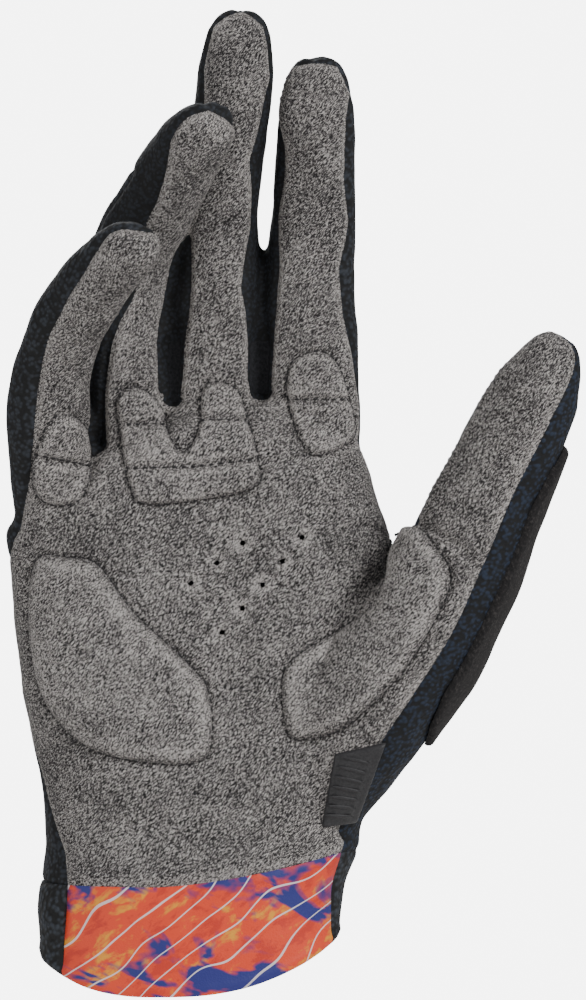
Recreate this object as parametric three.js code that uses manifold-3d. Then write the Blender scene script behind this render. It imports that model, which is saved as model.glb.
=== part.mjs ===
// A right-hand long-finger cycling glove, as full as the hand that wears it, in its relaxed pose.
// Millimetres. +X points to the thumb side, -Y out of the palm, +Z to the fingertips.
// The origin is the middle of the wrist opening.
import * as THREE from "three";
import { mergeVertices } from "three/addons/utils/BufferGeometryUtils.js";
import Module from "manifold-3d";

const wasm = await Module();
wasm.setup();

// Sizes of the whole glove
const PALM_WIDTH = 85; // across the roots of the four fingers
const PALM_LENGTH = 136; // wrist opening to the crotch between index and middle finger
const PALM_DEPTH = 34; // back of the hand to the heel of the palm
const CLOTH = 1.5; // wall of the palm leather, the knit back and the finger sides
const SEAM_GAP = 0.35; // clearance left between two panels along a seam
const SEAT_GAP = 0.3; // clearance under a pad, patch or tab that lies on a panel

// Sizes of the pieces that lie on the palm and thumb
const FINGER_PAD_HEIGHT = 1.9;
const HEEL_PAD_HEIGHT = 2.8;
const THUMB_PAD_HEIGHT = 2.6;
const CHANNEL_WIDTH = 1.2;
const CHANNEL_DEPTH = 0.9;
const TAB_THICKNESS = 1;
const WIPE_THICKNESS = 1.7;
const VENT_RADIUS = 0.8;
const PAD_DEPTH = -4; // how far back, in mm, a pad may wrap round the form

// Sizes of the cuff, heights above the wrist opening
const CUFF_HEIGHT = 20.5; // to the seam under the palm leather
const CUFF_SEAM_RISE = 7.4; // how much higher that seam is at the thumb side
const HEM_FRONT = -5.4; // where the hem hangs lowest, on the palm side
const HEM_BACK = 2; // the same on the back
const HEM_LITTLE_SIDE = 3; // at the side of the little finger
const HEM_THUMB_SIDE = 7.6; // at the side of the thumb
const CUFF_MIDDLE = -0.1; // of the palm's width, where the cuff's seam starts to rise and the hem is lowest
const CUFF_SEAM_POWER = 1.5; // how late the seam and the hem rise towards the sides (1 is a straight line)
const HEM_POWER = 2.6;

// Five digits. root is where the knuckle sits, as shares of the palm's width and length and in mm of depth.
// Each bone's share is of the digit's length; lean tips it to the thumb side, curl towards the palm, in degrees.
// flare is how much wider the tube grows at its root than its table says; it is gone at FLARE_END.
const DIGITS = {
  index: {
    root: { across: 0.347, up: 0.879, depth: 2 },
    length: 100, width: 21, depth: 18, flare: 1.28, roll: -4,
    bones: [
      { share: 0.504, lean: -0.9, curl: 5 },
      { share: 0.273, lean: 2.2, curl: 13 },
      { share: 0.223, lean: 0, curl: 21 },
    ],
  },
  middle: {
    root: { across: 0.046, up: 0.893, depth: 3 },
    length: 110, width: 20.8, depth: 18.5, flare: 1.28, roll: -8,
    bones: [
      { share: 0.484, lean: 3.2, curl: 6.5 },
      { share: 0.268, lean: 6, curl: 13.5 },
      { share: 0.248, lean: 6.5, curl: 21.5 },
    ],
  },
  ring: {
    root: { across: -0.163, up: 0.879, depth: 1 },
    length: 103, width: 19, depth: 17, flare: 1.06, roll: 42,
    bones: [
      { share: 0.448, lean: -3, curl: 8 },
      { share: 0.298, lean: 25, curl: 36 },
      { share: 0.254, lean: 36, curl: 44 },
    ],
  },
  little: {
    root: { across: -0.387, up: 0.789, depth: 1 },
    length: 91, width: 18, depth: 16, flare: 1.38, roll: 36,
    bones: [
      { share: 0.437, lean: 0.5, curl: 28 },
      { share: 0.295, lean: 25.5, curl: 38 },
      { share: 0.268, lean: 46, curl: 42 },
    ],
  },
  thumb: {
    root: { across: 0.257, up: 0.234, depth: -1 },
    length: 139, width: 29, depth: 27, flare: 1, roll: -38,
    bones: [
      { share: 0.483, lean: 34, curl: 12 },
      { share: 0.274, lean: 24.5, curl: 9 },
      { share: 0.243, lean: 25, curl: 15 },
    ],
  },
};
const FINGERS = ["index", "middle", "ring", "little"];

// Sections of a finger. along is the share of its length; width and depth are shares of its own.
// seam is where the palm leather ends, as a share of the half depth towards the palm.
const FINGER_SECTIONS = [
  { along: 0.0, width: 0.82, depth: 0.86, seam: 0.2 },
  { along: 0.16, width: 0.96, depth: 0.95, seam: 0.3 },
  { along: 0.31, width: 1.0, depth: 0.97, seam: 0.7 },
  { along: 0.47, width: 1.0, depth: 1.0, seam: 0.7 },
  { along: 0.63, width: 0.98, depth: 0.97, seam: 0.52 },
  { along: 0.77, width: 0.93, depth: 0.93, seam: 0.22 },
  { along: 0.88, width: 0.85, depth: 0.85, seam: 0.02 },
  { along: 0.95, width: 0.71, depth: 0.67, seam: -0.15 },
  { along: 0.985, width: 0.54, depth: 0.46, seam: -0.25 },
  { along: 1.0, width: 0.3, depth: 0.22, seam: -0.3 },
];
const THUMB_SECTIONS = [
  { along: 0.0, width: 0.8, depth: 0.75, seam: 0.5 },
  { along: 0.18, width: 1.0, depth: 0.98, seam: 0.6 },
  { along: 0.33, width: 1.06, depth: 1.06, seam: 0.64 },
  { along: 0.46, width: 1.03, depth: 1.0, seam: 0.64 },
  { along: 0.58, width: 0.95, depth: 0.9, seam: 0.64 },
  { along: 0.7, width: 0.87, depth: 0.8, seam: 0.62 },
  { along: 0.81, width: 0.82, depth: 0.7, seam: 0.6 },
  { along: 0.9, width: 0.73, depth: 0.62, seam: 0.5 },
  { along: 0.955, width: 0.55, depth: 0.5, seam: 0.2 },
  { along: 0.986, width: 0.4, depth: 0.36, seam: 0.0 },
  { along: 1.0, width: 0.22, depth: 0.2, seam: 0.0 },
];

// Sections of the palm and cuff. up is a share of the palm's length, left and right of its width,
// front, back and hollow of its depth. slope tips a section up towards the thumb side and bow
// bends both its ends down. seamLeft and seamRight are where the palm leather ends, as shares of
// the depth, back positive.
const PALM_SECTIONS = [
  { up: -0.1, left: -0.43, right: 0.42, front: 0.64, back: 0.56, hollow: 0, slope: 0, bow: 0, seamLeft: -0.32, seamRight: -0.05 },
  { up: 0.04, left: -0.427, right: 0.42, front: 0.64, back: 0.56, hollow: 0, slope: 0, bow: 0, seamLeft: -0.32, seamRight: -0.05 },
  { up: 0.147, left: -0.42, right: 0.432, front: 0.6, back: 0.53, hollow: 0, slope: 0, bow: 0, seamLeft: -0.32, seamRight: -0.08 },
  { up: 0.206, left: -0.41, right: 0.475, front: 0.58, back: 0.52, hollow: 0, slope: 0, bow: 0, seamLeft: -0.25, seamRight: -0.2 },
  { up: 0.331, left: -0.42, right: 0.5, front: 0.585, back: 0.51, hollow: 0.03, slope: 0, bow: 0, seamLeft: -0.12, seamRight: -0.1 },
  { up: 0.478, left: -0.475, right: 0.5, front: 0.58, back: 0.5, hollow: 0.1, slope: 0, bow: 0, seamLeft: -0.03, seamRight: 0 },
  { up: 0.625, left: -0.498, right: 0.545, front: 0.545, back: 0.485, hollow: 0.14, slope: 0.02, bow: 0, seamLeft: 0.02, seamRight: 0.05 },
  { up: 0.735, left: -0.505, right: 0.575, front: 0.49, back: 0.47, hollow: 0.12, slope: 0.05, bow: 0.05, seamLeft: 0.04, seamRight: 0.1 },
  { up: 0.794, left: -0.515, right: 0.54, front: 0.47, back: 0.455, hollow: 0.1, slope: 0.08, bow: 0.15, seamLeft: -0.12, seamRight: 0.1 },
  { up: 0.86, left: -0.522, right: 0.51, front: 0.45, back: 0.44, hollow: 0.07, slope: 0.14, bow: 0.3, seamLeft: -0.2, seamRight: 0.08 },
  { up: 0.915, left: -0.52, right: 0.498, front: 0.4, back: 0.39, hollow: 0.04, slope: 0.18, bow: 0.5, seamLeft: -0.2, seamRight: 0.02 },
  { up: 0.955, left: -0.49, right: 0.475, front: 0.31, back: 0.31, hollow: 0, slope: 0.22, bow: 0.62, seamLeft: -0.08, seamRight: -0.06 },
  { up: 0.985, left: -0.42, right: 0.41, front: 0.18, back: 0.18, hollow: 0, slope: 0.26, bow: 0.85, seamLeft: 0.06, seamRight: 0 },
];
const HOLLOW_CENTRE = 0.06; // of the palm's width, where the hollow of the hand is deepest
const HOLLOW_SPREAD = 0.2;

// Finger sides
const SIDE_BACK_SEAM = 0.55; // of the half depth, where a side strip meets the knit back
const SIDE_REACH = 0.2; // of the half width, how far it may run round the finger
const WEB = { halfWidth: 6, below: 8, above: 4, behind: 7 }; // its turn between two fingers, in mm

// The thumb's wipe patch: edge is its seam on the palm side, as a share of the half depth,
// and under is how far it reaches round to the fingers' side, as a share of the half width.
const WIPE_SECTIONS = [
  { along: 0.28, edge: -0.4, under: 0.35 },
  { along: 0.32, edge: 0.0, under: 0.0 },
  { along: 0.38, edge: 0.22, under: -0.4 },
  { along: 0.48, edge: 0.32, under: -0.6 },
  { along: 0.6, edge: 0.32, under: -0.6 },
  { along: 0.72, edge: 0.22, under: -0.5 },
  { along: 0.79, edge: 0.0, under: -0.2 },
  { along: 0.83, edge: -0.4, under: 0.3 },
];

// Facets round a section, and how square its corners are (2 is an ellipse)
const OUTER_FACETS = { digit: 12, palm: 20 };
const INNER_FACETS = { digit: 8, palm: 20 };
const CUTTER_FACETS = { digit: 8, palm: 14 };
const CUTTER_GROW = 1.2; // how far a cutter's corners stand outside the form
const SLAB_GROW = 3 * CUTTER_GROW; // the same for a box that bounds a cutter
const SQUARENESS = 2.3;

// Outlines on the palm, points as shares of the palm's width and length
const INDEX_PAD = [
  [0.354, 1.086], [0.401, 1.075], [0.432, 1.038], [0.46, 0.972], [0.455, 0.93], [0.37, 0.904],
  [0.32, 0.918], [0.275, 1.0], [0.284, 1.065],
];
const KNUCKLE_PAD = [
  [-0.153, 1.023], [-0.206, 1.0], [-0.195, 0.93], [-0.17, 0.855], [-0.13, 0.818], [0.03, 0.825],
  [0.185, 0.848], [0.191, 0.9], [0.16, 0.97], [0.133, 1.017], [0.079, 1.033], [0.034, 1.02],
  [0.026, 0.956], [0.001, 0.918], [-0.027, 0.909], [-0.058, 0.939], [-0.091, 0.996],
];
const LITTLE_PAD = [
  [-0.352, 0.974], [-0.295, 0.955], [-0.279, 0.888], [-0.301, 0.83], [-0.371, 0.815],
  [-0.43, 0.834], [-0.438, 0.885], [-0.4, 0.95],
];
const HEEL_PAD = [
  [-0.436, 0.715], [-0.343, 0.724], [-0.256, 0.711], [-0.156, 0.629], [0.004, 0.535], [0.054, 0.489],
  [0.063, 0.409], [0.026, 0.368], [-0.13, 0.368], [-0.29, 0.395], [-0.402, 0.468], [-0.45, 0.582],
];
const THUMB_PAD = [
  [0.567, 0.752], [0.631, 0.778], [0.69, 0.741], [0.726, 0.692], [0.684, 0.62], [0.581, 0.519],
  [0.432, 0.43], [0.306, 0.407], [0.268, 0.435], [0.261, 0.519], [0.317, 0.559], [0.488, 0.624],
  [0.547, 0.68],
];
const TAB = [[0.407, 0.384], [0.547, 0.405], [0.463, 0.262], [0.368, 0.253]];
const THUMB_SIDE_SEAM = [[0.4, 0.42], [0.33, 0.3], [0.3, 0.1]];
const THUMB_SIDE_REST = [[0.8, 0.1], [0.8, 0.5]];

// Stitched channels that cross the finger pads: end points as the outlines give them
const INDEX_CHANNELS = [[[0.25, 1.002], [0.5, 1.002]]];
const KNUCKLE_CHANNELS = [
  [[-0.23, 0.958], [-0.04, 0.958]],
  [[0.01, 0.965], [0.19, 0.965]],
  [[-0.22, 0.88], [0.01, 0.883]],
  [[-0.01, 0.882], [0.22, 0.899]],
];
const LITTLE_CHANNELS = [[[-0.48, 0.91], [-0.24, 0.88]]];

// Vents: two slanting rows in the hollow of the palm
const VENT_ROWS = [
  { from: [0.004, 0.68], to: [0.147, 0.75], count: 3 },
  { from: [0.091, 0.594], to: [0.315, 0.76], count: 5 },
];

const FLARE_END = 0.5; // where along a digit its flare is gone
const TIP_START = 0.85; // where along a digit a wall starts to be measured lengthwise too
const HAND_REACH = 90; // how far a cutter runs in front of and behind the palm
const LINE_REACH = 0.6; // how far a line across the cuff runs to both sides, of the palm's width
const LINE_STEPS = 10;
const SLAB_STEPS = 8; // across the seam of the palm leather
const VENT_FACETS = 8;
const MERGE = 1e-3; // points nearer than this are one

// A geometry as a solid that manifold-3d can cut.
function solid(geometry) {
  const bare = new THREE.BufferGeometry();
  bare.setAttribute("position", geometry.getAttribute("position"));
  bare.setIndex(geometry.index);
  const merged = mergeVertices(bare, MERGE);
  return new wasm.Manifold(new wasm.Mesh({
    numProp: 3,
    vertProperties: merged.attributes.position.array,
    triVerts: new Uint32Array(merged.index.array),
  }));
}

// A closed solid through rings of points that run counter-clockwise seen from the last ring.
// Point j of a ring of n lies across from point n - 1 - j, and the ends are closed between such pairs.
function loft(rings) {
  const positions = [];
  const put = (...points) => points.forEach((p) => positions.push(p.x, p.y, p.z));
  const count = rings[0].length;
  const first = rings[0];
  const last = rings[rings.length - 1];
  for (let j = 0; j + 1 < count / 2; j += 1) {
    const [a, b, c, d] = [j, j + 1, count - 2 - j, count - 1 - j];
    put(last[a], last[b], last[c], last[a], last[c], last[d]);
    put(first[a], first[c], first[b], first[a], first[d], first[c]);
  }
  for (let i = 0; i + 1 < rings.length; i += 1) {
    for (let j = 0; j < count; j += 1) {
      const k = (j + 1) % count;
      put(rings[i][j], rings[i][k], rings[i + 1][k], rings[i][j], rings[i + 1][k], rings[i + 1][j]);
    }
  }
  const geometry = new THREE.BufferGeometry();
  geometry.setAttribute("position", new THREE.Float32BufferAttribute(positions, 3));
  return solid(geometry);
}

const clamp = (value, low, high) => Math.min(Math.max(value, low), high);
const signedPower = (value, power) => Math.sign(value) * Math.abs(value) ** power;
const union = (solids) => solids.reduce((a, b) => a.add(b));

// The bent line through a digit's knuckles, from its root to its tip.
function digitLine(digit) {
  const at = new THREE.Vector3(digit.root.across * PALM_WIDTH, digit.root.depth, digit.root.up * PALM_LENGTH);
  const joints = [at.clone()];
  for (const bone of digit.bones) {
    const lean = THREE.MathUtils.degToRad(bone.lean);
    const curl = THREE.MathUtils.degToRad(bone.curl);
    const along = new THREE.Vector3(
      Math.sin(lean) * Math.cos(curl), -Math.sin(curl), Math.cos(lean) * Math.cos(curl));
    at.addScaledVector(along, bone.share * digit.length);
    joints.push(at.clone());
  }
  return new THREE.CatmullRomCurve3(joints, false, "centripetal");
}

// A section of a table at any share of the length, between the two rows that hold it.
function sectionAt(sections, along) {
  const next = clamp(sections.filter((s) => s.along < along).length, 1, sections.length - 1);
  const low = sections[next - 1];
  const high = sections[next];
  const share = (along - low.along) / (high.along - low.along);
  return Object.fromEntries(Object.keys(low).map((k) => [k, THREE.MathUtils.lerp(low[k], high[k], share)]));
}

// The frames along a digit, at each row of its table or at the shares in alongs: where the row
// sits, which way its side and palm side face, and its half sizes.
function digitFrames(digit, alongs) {
  const table = digit === DIGITS.thumb ? THUMB_SECTIONS : FINGER_SECTIONS;
  const line = digitLine(digit);
  const roll = THREE.MathUtils.degToRad(digit.roll);
  const palmSide = new THREE.Vector3(Math.sin(roll), -Math.cos(roll), 0);
  return (alongs ? alongs.map((along) => sectionAt(table, along)) : table).map((section) => {
    const centre = line.getPointAt(section.along);
    const tangent = line.getTangentAt(section.along);
    const front = palmSide.clone().addScaledVector(tangent, -palmSide.dot(tangent)).normalize();
    const side = tangent.clone().cross(front);
    const at = (across, deep) => centre.clone().addScaledVector(side, across).addScaledVector(front, deep);
    const flare = 1 + (digit.flare - 1) * clamp(1 - section.along / FLARE_END, 0, 1);
    return {
      section, centre, tangent, at,
      halfWidth: (section.width * digit.width * flare) / 2,
      halfDepth: (section.depth * digit.depth) / 2,
    };
  });
}

// A digit's tube, made larger by grow all round.
function digitTube(digit, grow, facets) {
  return loft(digitFrames(digit).map(({ section, centre, tangent, at, halfWidth, halfDepth }) => {
    const tip = clamp((section.along - TIP_START) / (1 - TIP_START), 0, 1);
    centre.addScaledVector(tangent, grow * tip);
    return Array.from({ length: facets }, (_, j) => {
      const angle = (2 * Math.PI * (j + 0.5)) / facets;
      return at(
        signedPower(Math.cos(angle), 2 / SQUARENESS) * (halfWidth + grow * (1 - tip / 2)),
        -signedPower(Math.sin(angle), 2 / SQUARENESS) * (halfDepth + grow * (1 - tip / 2)));
    });
  }));
}

// A strip of a digit: what its tube shares with a bent box. limits(section, halfDepth, halfWidth)
// gives the box's reach to the front and the sides where it isn't the whole tube's.
function digitStrip(digit, limits, tube = digitTube(digit, CUTTER_GROW, CUTTER_FACETS.digit), alongs = null) {
  const box = loft(digitFrames(digit, alongs).map(({ section, tangent, centre, at, halfWidth, halfDepth }) => {
    const reach = Math.max(halfWidth, halfDepth) + SLAB_GROW;
    if (section.along === 1) centre.addScaledVector(tangent, SLAB_GROW);
    const { front, back, left, right } = {
      front: reach, back: -reach, left: -reach, right: reach, ...limits(section, halfDepth, halfWidth),
    };
    return [at(right, front), at(right, back), at(left, back), at(left, front)];
  }));
  return tube.intersect(box);
}

// The sections of the palm and cuff with their ends and a rule that places a point of each.
function palmFrames(grow) {
  return PALM_SECTIONS.map((section, i) => {
    const left = section.left * PALM_WIDTH - grow;
    const right = section.right * PALM_WIDTH + grow;
    const centre = (left + right) / 2;
    const end = i === PALM_SECTIONS.length - 1 ? grow : 0;
    const at = (x, y) => {
      const off = x - centre;
      const up = section.up * PALM_LENGTH + end + section.slope * off - (section.bow * off * off) / PALM_WIDTH;
      return new THREE.Vector3(x, y, up);
    };
    return { section, centre, left, right, at };
  });
}

// The palm and cuff, made larger by grow all round.
function palmBlock(grow, facets) {
  return loft(palmFrames(grow).map(({ section, centre, right, at }) =>
    Array.from({ length: facets }, (_, j) => {
      const angle = (2 * Math.PI * (j + 0.5)) / facets;
      const x = centre + (right - centre) * signedPower(Math.cos(angle), 2 / SQUARENESS);
      const reach = signedPower(Math.sin(angle), 2 / SQUARENESS);
      const depth = (reach < 0 ? section.front : section.back) * PALM_DEPTH + grow;
      const dip = Math.exp(-(((x / PALM_WIDTH - HOLLOW_CENTRE) / HOLLOW_SPREAD) ** 2));
      return at(x, reach * depth - Math.min(reach, 0) * section.hollow * PALM_DEPTH * dip);
    })));
}

// What lies in front of the seam of the palm leather, moved towards the palm by shift.
function palmFront(shift) {
  const shares = Array.from({ length: SLAB_STEPS + 1 }, (_, i) => i / SLAB_STEPS);
  const slab = loft(palmFrames(SLAB_GROW).map(({ section, left, right, at }, i) => {
    const lift = i === PALM_SECTIONS.length - 1 ? SLAB_GROW : 0;
    const place = (share, y) => at(THREE.MathUtils.lerp(left, right, share), y).add(new THREE.Vector3(0, 0, lift));
    const seam = (share) => THREE.MathUtils.lerp(section.seamLeft, section.seamRight, share) * PALM_DEPTH - shift;
    return [
      ...shares.map((share) => place(1 - share, seam(1 - share))),
      ...shares.map((share) => place(share, -HAND_REACH)),
    ];
  }));
  return palmBlock(CUTTER_GROW, CUTTER_FACETS.palm).intersect(slab);
}

// The whole hand form that the glove is sewn to.
const handForm = (grow, facets = OUTER_FACETS) =>
  union([palmBlock(grow, facets.palm), ...Object.values(DIGITS).map((digit) => digitTube(digit, grow, facets.digit))]);

// An outline drawn from the front, rounded through its points, as a cutter from palm to back.
function frontCutter(points, fromY = -HAND_REACH, toY = 0, rounded = true) {
  const flat = points.map(([across, up]) => new THREE.Vector2(across * PALM_WIDTH, up * PALM_LENGTH));
  const shape = new THREE.Shape();
  if (rounded) {
    const ring = new THREE.CatmullRomCurve3(flat.map((p) => new THREE.Vector3(p.x, p.y, 0)), true, "centripetal");
    shape.setFromPoints(ring.getSpacedPoints(2 * points.length).slice(0, -1).map((p) => new THREE.Vector2(p.x, p.y)));
  } else shape.setFromPoints(flat);
  const geometry = new THREE.ExtrudeGeometry(shape, { depth: toY - fromY, bevelEnabled: false });
  geometry.rotateX(Math.PI / 2); // drawn in XY and pushed along Z: now in XZ and pushed along -Y
  geometry.translate(0, toY, 0);
  return solid(geometry);
}

// What lies under a line across the cuff, heights in mm, between two depths.
function underLine(heightAt, fromY, toY) {
  const edge = Array.from({ length: LINE_STEPS + 1 }, (_, i) => {
    const across = THREE.MathUtils.lerp(LINE_REACH, -LINE_REACH, i / LINE_STEPS);
    return [across, heightAt(across) / PALM_LENGTH];
  });
  return frontCutter([...edge, [-LINE_REACH, -1], [LINE_REACH, -1]], fromY, toY, false);
}

// Heights of the cuff's seam and of its hem, at a share of the palm's width.
const wrist = PALM_SECTIONS[1];
const cuffSeamAt = (across) =>
  CUFF_HEIGHT +
  CUFF_SEAM_RISE * clamp((across - CUFF_MIDDLE) / (wrist.right - CUFF_MIDDLE), 0, 1) ** CUFF_SEAM_POWER;
function hemAt(across, lowest) {
  const thumbSide = across > CUFF_MIDDLE;
  const end = thumbSide ? wrist.right : wrist.left;
  const height = thumbSide ? HEM_THUMB_SIDE : HEM_LITTLE_SIDE;
  return lowest + (height - lowest) * clamp((across - CUFF_MIDDLE) / (end - CUFF_MIDDLE), 0, 1) ** HEM_POWER;
}

// Main body of a solid, without the slivers that a cut can leave.
const mainBody = (made) => made.decompose().sort((a, b) => b.volume() - a.volume())[0];

function material(colour, roughness) {
  return new THREE.MeshStandardMaterial({ color: colour, roughness, metalness: 0 });
}
const PALM_LEATHER = material("#7b7879", 0.9);
const BACK_KNIT = material("#171a1f", 0.85);
const SIDE_KNIT = material("#1b212c", 0.8);
const THUMB_KNIT = material("#182130", 0.8);
const WIPE_PILE = material("#232021", 0.95);
const TAB_RUBBER = material("#2a2a2c", 0.6);
const CUFF_PRINT = material("#e2552f", 0.7);

const geometryOf = (made) => {
  const mesh = made.getMesh();
  const geometry = new THREE.BufferGeometry();
  geometry.setAttribute("position", new THREE.BufferAttribute(new Float32Array(mesh.vertProperties), 3));
  geometry.setIndex(new THREE.BufferAttribute(new Uint32Array(mesh.triVerts), 1));
  return geometry;
};

const glove = new THREE.Group();
function add(name, made, dress) {
  const joined = mainBody(solid(geometryOf(made)));
  const node = new THREE.Mesh(geometryOf(joined), dress);
  node.name = name;
  glove.add(node);
}

// The sewn shell: the hand form with the hand taken out and the wrist cut to the hem
const hem = union([
  underLine((across) => hemAt(across, HEM_FRONT), -HAND_REACH, 0),
  underLine((across) => hemAt(across, HEM_BACK), -MERGE, HAND_REACH),
]);
const form = handForm(0);
const shell = form.subtract(handForm(-CLOTH, INNER_FACETS)).subtract(hem);

// Front of the seam that runs round the palm and up each digit, moved towards the palm by shift
const palmLeatherSide = (shift) => union([
  palmFront(shift),
  ...Object.values(DIGITS).map((digit) =>
    digitStrip(digit, (section, halfDepth) => ({ back: section.seam * halfDepth + shift }))),
]);
const inFront = shell.intersect(palmLeatherSide(SEAM_GAP / 2));
const behind = shell.subtract(palmLeatherSide(-SEAM_GAP / 2));
const belowCuffSeam = (shift) => underLine((across) => cuffSeamAt(across) + shift, -HAND_REACH, HAND_REACH);

// Palm leather, in one piece with the front of all five digits, and its vents
const vents = VENT_ROWS.flatMap((row) =>
  Array.from({ length: row.count }, (_, i) => {
    const share = i / (row.count - 1);
    const vent = new THREE.CylinderGeometry(VENT_RADIUS, VENT_RADIUS, HAND_REACH, VENT_FACETS);
    vent.translate(
      THREE.MathUtils.lerp(row.from[0], row.to[0], share) * PALM_WIDTH,
      -HAND_REACH / 2,
      THREE.MathUtils.lerp(row.from[1], row.to[1], share) * PALM_LENGTH);
    return solid(vent);
  }));
add("palm_panel", inFront.subtract(belowCuffSeam(SEAM_GAP / 2)).subtract(union(vents)), PALM_LEATHER);

// Cuff: printed tape on the palm side, knit on the back
add("cuff_front", inFront.intersect(belowCuffSeam(-SEAM_GAP / 2)), CUFF_PRINT);
add("cuff_back", behind.intersect(belowCuffSeam(-SEAM_GAP / 2)), BACK_KNIT);
const behindAboveCuff = behind.subtract(belowCuffSeam(SEAM_GAP / 2));

// Finger sides: one strip between two neighbours, down one finger and up the next
const sideStrip = (digit, towards, shift) => digitStrip(digit, (section, halfDepth, halfWidth) => ({
  back: -SIDE_BACK_SEAM * halfDepth + shift,
  ...(towards > 0 ? { left: SIDE_REACH * halfWidth } : { right: -SIDE_REACH * halfWidth }),
}));
const palmTop = palmFrames(0)[PALM_SECTIONS.length - 1];
function web(one, other, shift) {
  const x = ((one.root.across + other.root.across) / 2) * PALM_WIDTH;
  const turn = new THREE.BoxGeometry(2 * (WEB.halfWidth - shift), HAND_REACH, WEB.below + WEB.above);
  turn.translate(x, WEB.behind - shift - HAND_REACH / 2, palmTop.at(x, 0).z + (WEB.above - WEB.below) / 2);
  return solid(turn);
}
const finger = (i) => DIGITS[FINGERS[i]];
const sideGap = (i, shift) => union([
  sideStrip(finger(i), -1, shift),
  sideStrip(finger(i + 1), 1, shift),
  web(finger(i), finger(i + 1), shift),
]);
const gaps = [0, 1, 2];
for (const i of gaps) {
  add(`side_${FINGERS[i]}_${FINGERS[i + 1]}`, behindAboveCuff.intersect(sideGap(i, SEAM_GAP / 2)), SIDE_KNIT);
}
const behindSides = gaps.reduce((rest, i) => rest.subtract(sideGap(i, -SEAM_GAP / 2)), behindAboveCuff);

// Thumb back: a knit panel from the thumb's tip down the edge of the hand to the cuff's seam
const thumbSide = (shift) => union([
  digitTube(DIGITS.thumb, CUTTER_GROW + shift, CUTTER_FACETS.digit),
  frontCutter([...THUMB_SIDE_SEAM.map(([across, up]) => [across - shift / PALM_WIDTH, up]), ...THUMB_SIDE_REST],
    -HAND_REACH, HAND_REACH, false),
]);
add("thumb_back", behindSides.intersect(thumbSide(0)), THUMB_KNIT);
add("back_panel", behindSides.subtract(thumbSide(SEAM_GAP)), BACK_KNIT);

// A piece that lies on the form: an outline raised by height over a small clearance.
const seat = handForm(SEAT_GAP);
const seated = (cutter, height) => handForm(SEAT_GAP + height).subtract(seat).intersect(cutter);

// Pads of the palm, the finger ones with stitched channels across
function channel([from, to], height) {
  const a = new THREE.Vector2(from[0] * PALM_WIDTH, from[1] * PALM_LENGTH);
  const b = new THREE.Vector2(to[0] * PALM_WIDTH, to[1] * PALM_LENGTH);
  const bar = new THREE.BoxGeometry(a.distanceTo(b), HAND_REACH, CHANNEL_WIDTH);
  bar.rotateY(-Math.atan2(b.y - a.y, b.x - a.x));
  bar.translate((a.x + b.x) / 2, -HAND_REACH / 2, (a.y + b.y) / 2);
  return solid(bar).subtract(handForm(SEAT_GAP + height - CHANNEL_DEPTH));
}
function pad(outline, height, channels = []) {
  const whole = seated(frontCutter(outline, -HAND_REACH, PAD_DEPTH), height);
  return channels.reduce((made, line) => made.subtract(channel(line, height)), whole);
}
add("pad_index", pad(INDEX_PAD, FINGER_PAD_HEIGHT, INDEX_CHANNELS), PALM_LEATHER);
add("pad_knuckle", pad(KNUCKLE_PAD, FINGER_PAD_HEIGHT, KNUCKLE_CHANNELS), PALM_LEATHER);
add("pad_little", pad(LITTLE_PAD, FINGER_PAD_HEIGHT, LITTLE_CHANNELS), PALM_LEATHER);
add("pad_heel", pad(HEEL_PAD, HEEL_PAD_HEIGHT), PALM_LEATHER);
add("pad_thumb", pad(THUMB_PAD, THUMB_PAD_HEIGHT), PALM_LEATHER);
add("grip_tab", seated(frontCutter(TAB, -HAND_REACH, 0, false), TAB_THICKNESS), TAB_RUBBER);

// Wipe patch on the outer side and back of the thumb, clear of the thumb's pad
const wipe = digitStrip(DIGITS.thumb, ({ along }, halfDepth, halfWidth) => {
  const { edge, under } = sectionAt(WIPE_SECTIONS, along);
  return { front: edge * halfDepth, left: under * halfWidth };
}, digitTube(DIGITS.thumb, SEAT_GAP + WIPE_THICKNESS, OUTER_FACETS.digit), WIPE_SECTIONS.map((s) => s.along));
add("thumb_wipe", wipe.subtract(seat), WIPE_PILE);

export default glove;
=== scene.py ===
"""Looks of a right-hand long-finger cycling glove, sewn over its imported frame.

Lengths are millimetres until a mesh is made. +X points to the thumb side, -Y out of the palm
and +Z to the fingertips, as in the frame.
"""

import logging
import math
from dataclasses import dataclass, field
from enum import Enum
from typing import Any, Iterable, Sequence

import bpy
import numpy as np
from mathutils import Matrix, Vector
from mathutils.kdtree import KDTree


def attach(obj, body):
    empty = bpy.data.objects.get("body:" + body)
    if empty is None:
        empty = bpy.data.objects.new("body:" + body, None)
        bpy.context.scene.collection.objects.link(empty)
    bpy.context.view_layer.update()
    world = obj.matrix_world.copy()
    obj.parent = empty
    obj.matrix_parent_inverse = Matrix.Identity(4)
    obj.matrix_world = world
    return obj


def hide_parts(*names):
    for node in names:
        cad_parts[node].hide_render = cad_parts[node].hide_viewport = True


log = logging.getLogger("glove")
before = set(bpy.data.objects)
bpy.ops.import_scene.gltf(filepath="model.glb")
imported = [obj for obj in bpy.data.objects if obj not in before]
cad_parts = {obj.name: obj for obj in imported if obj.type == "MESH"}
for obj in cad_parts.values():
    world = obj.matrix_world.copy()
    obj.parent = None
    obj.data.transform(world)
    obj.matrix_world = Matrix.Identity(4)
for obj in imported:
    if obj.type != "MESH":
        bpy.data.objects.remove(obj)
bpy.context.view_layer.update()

MM = 0.001
Array = np.ndarray


# Sizes of the whole glove

PALM_WIDTH = 85.0
PALM_LENGTH = 136.0
PALM_DEPTH = 34.0
SQUARENESS = 2.3
VIEW_AIM = (24.6, 112.2)
VIEW_DISTANCE = 1100.0
VIEW_PLANE = 10.0
FLARE_END = 0.5


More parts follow.
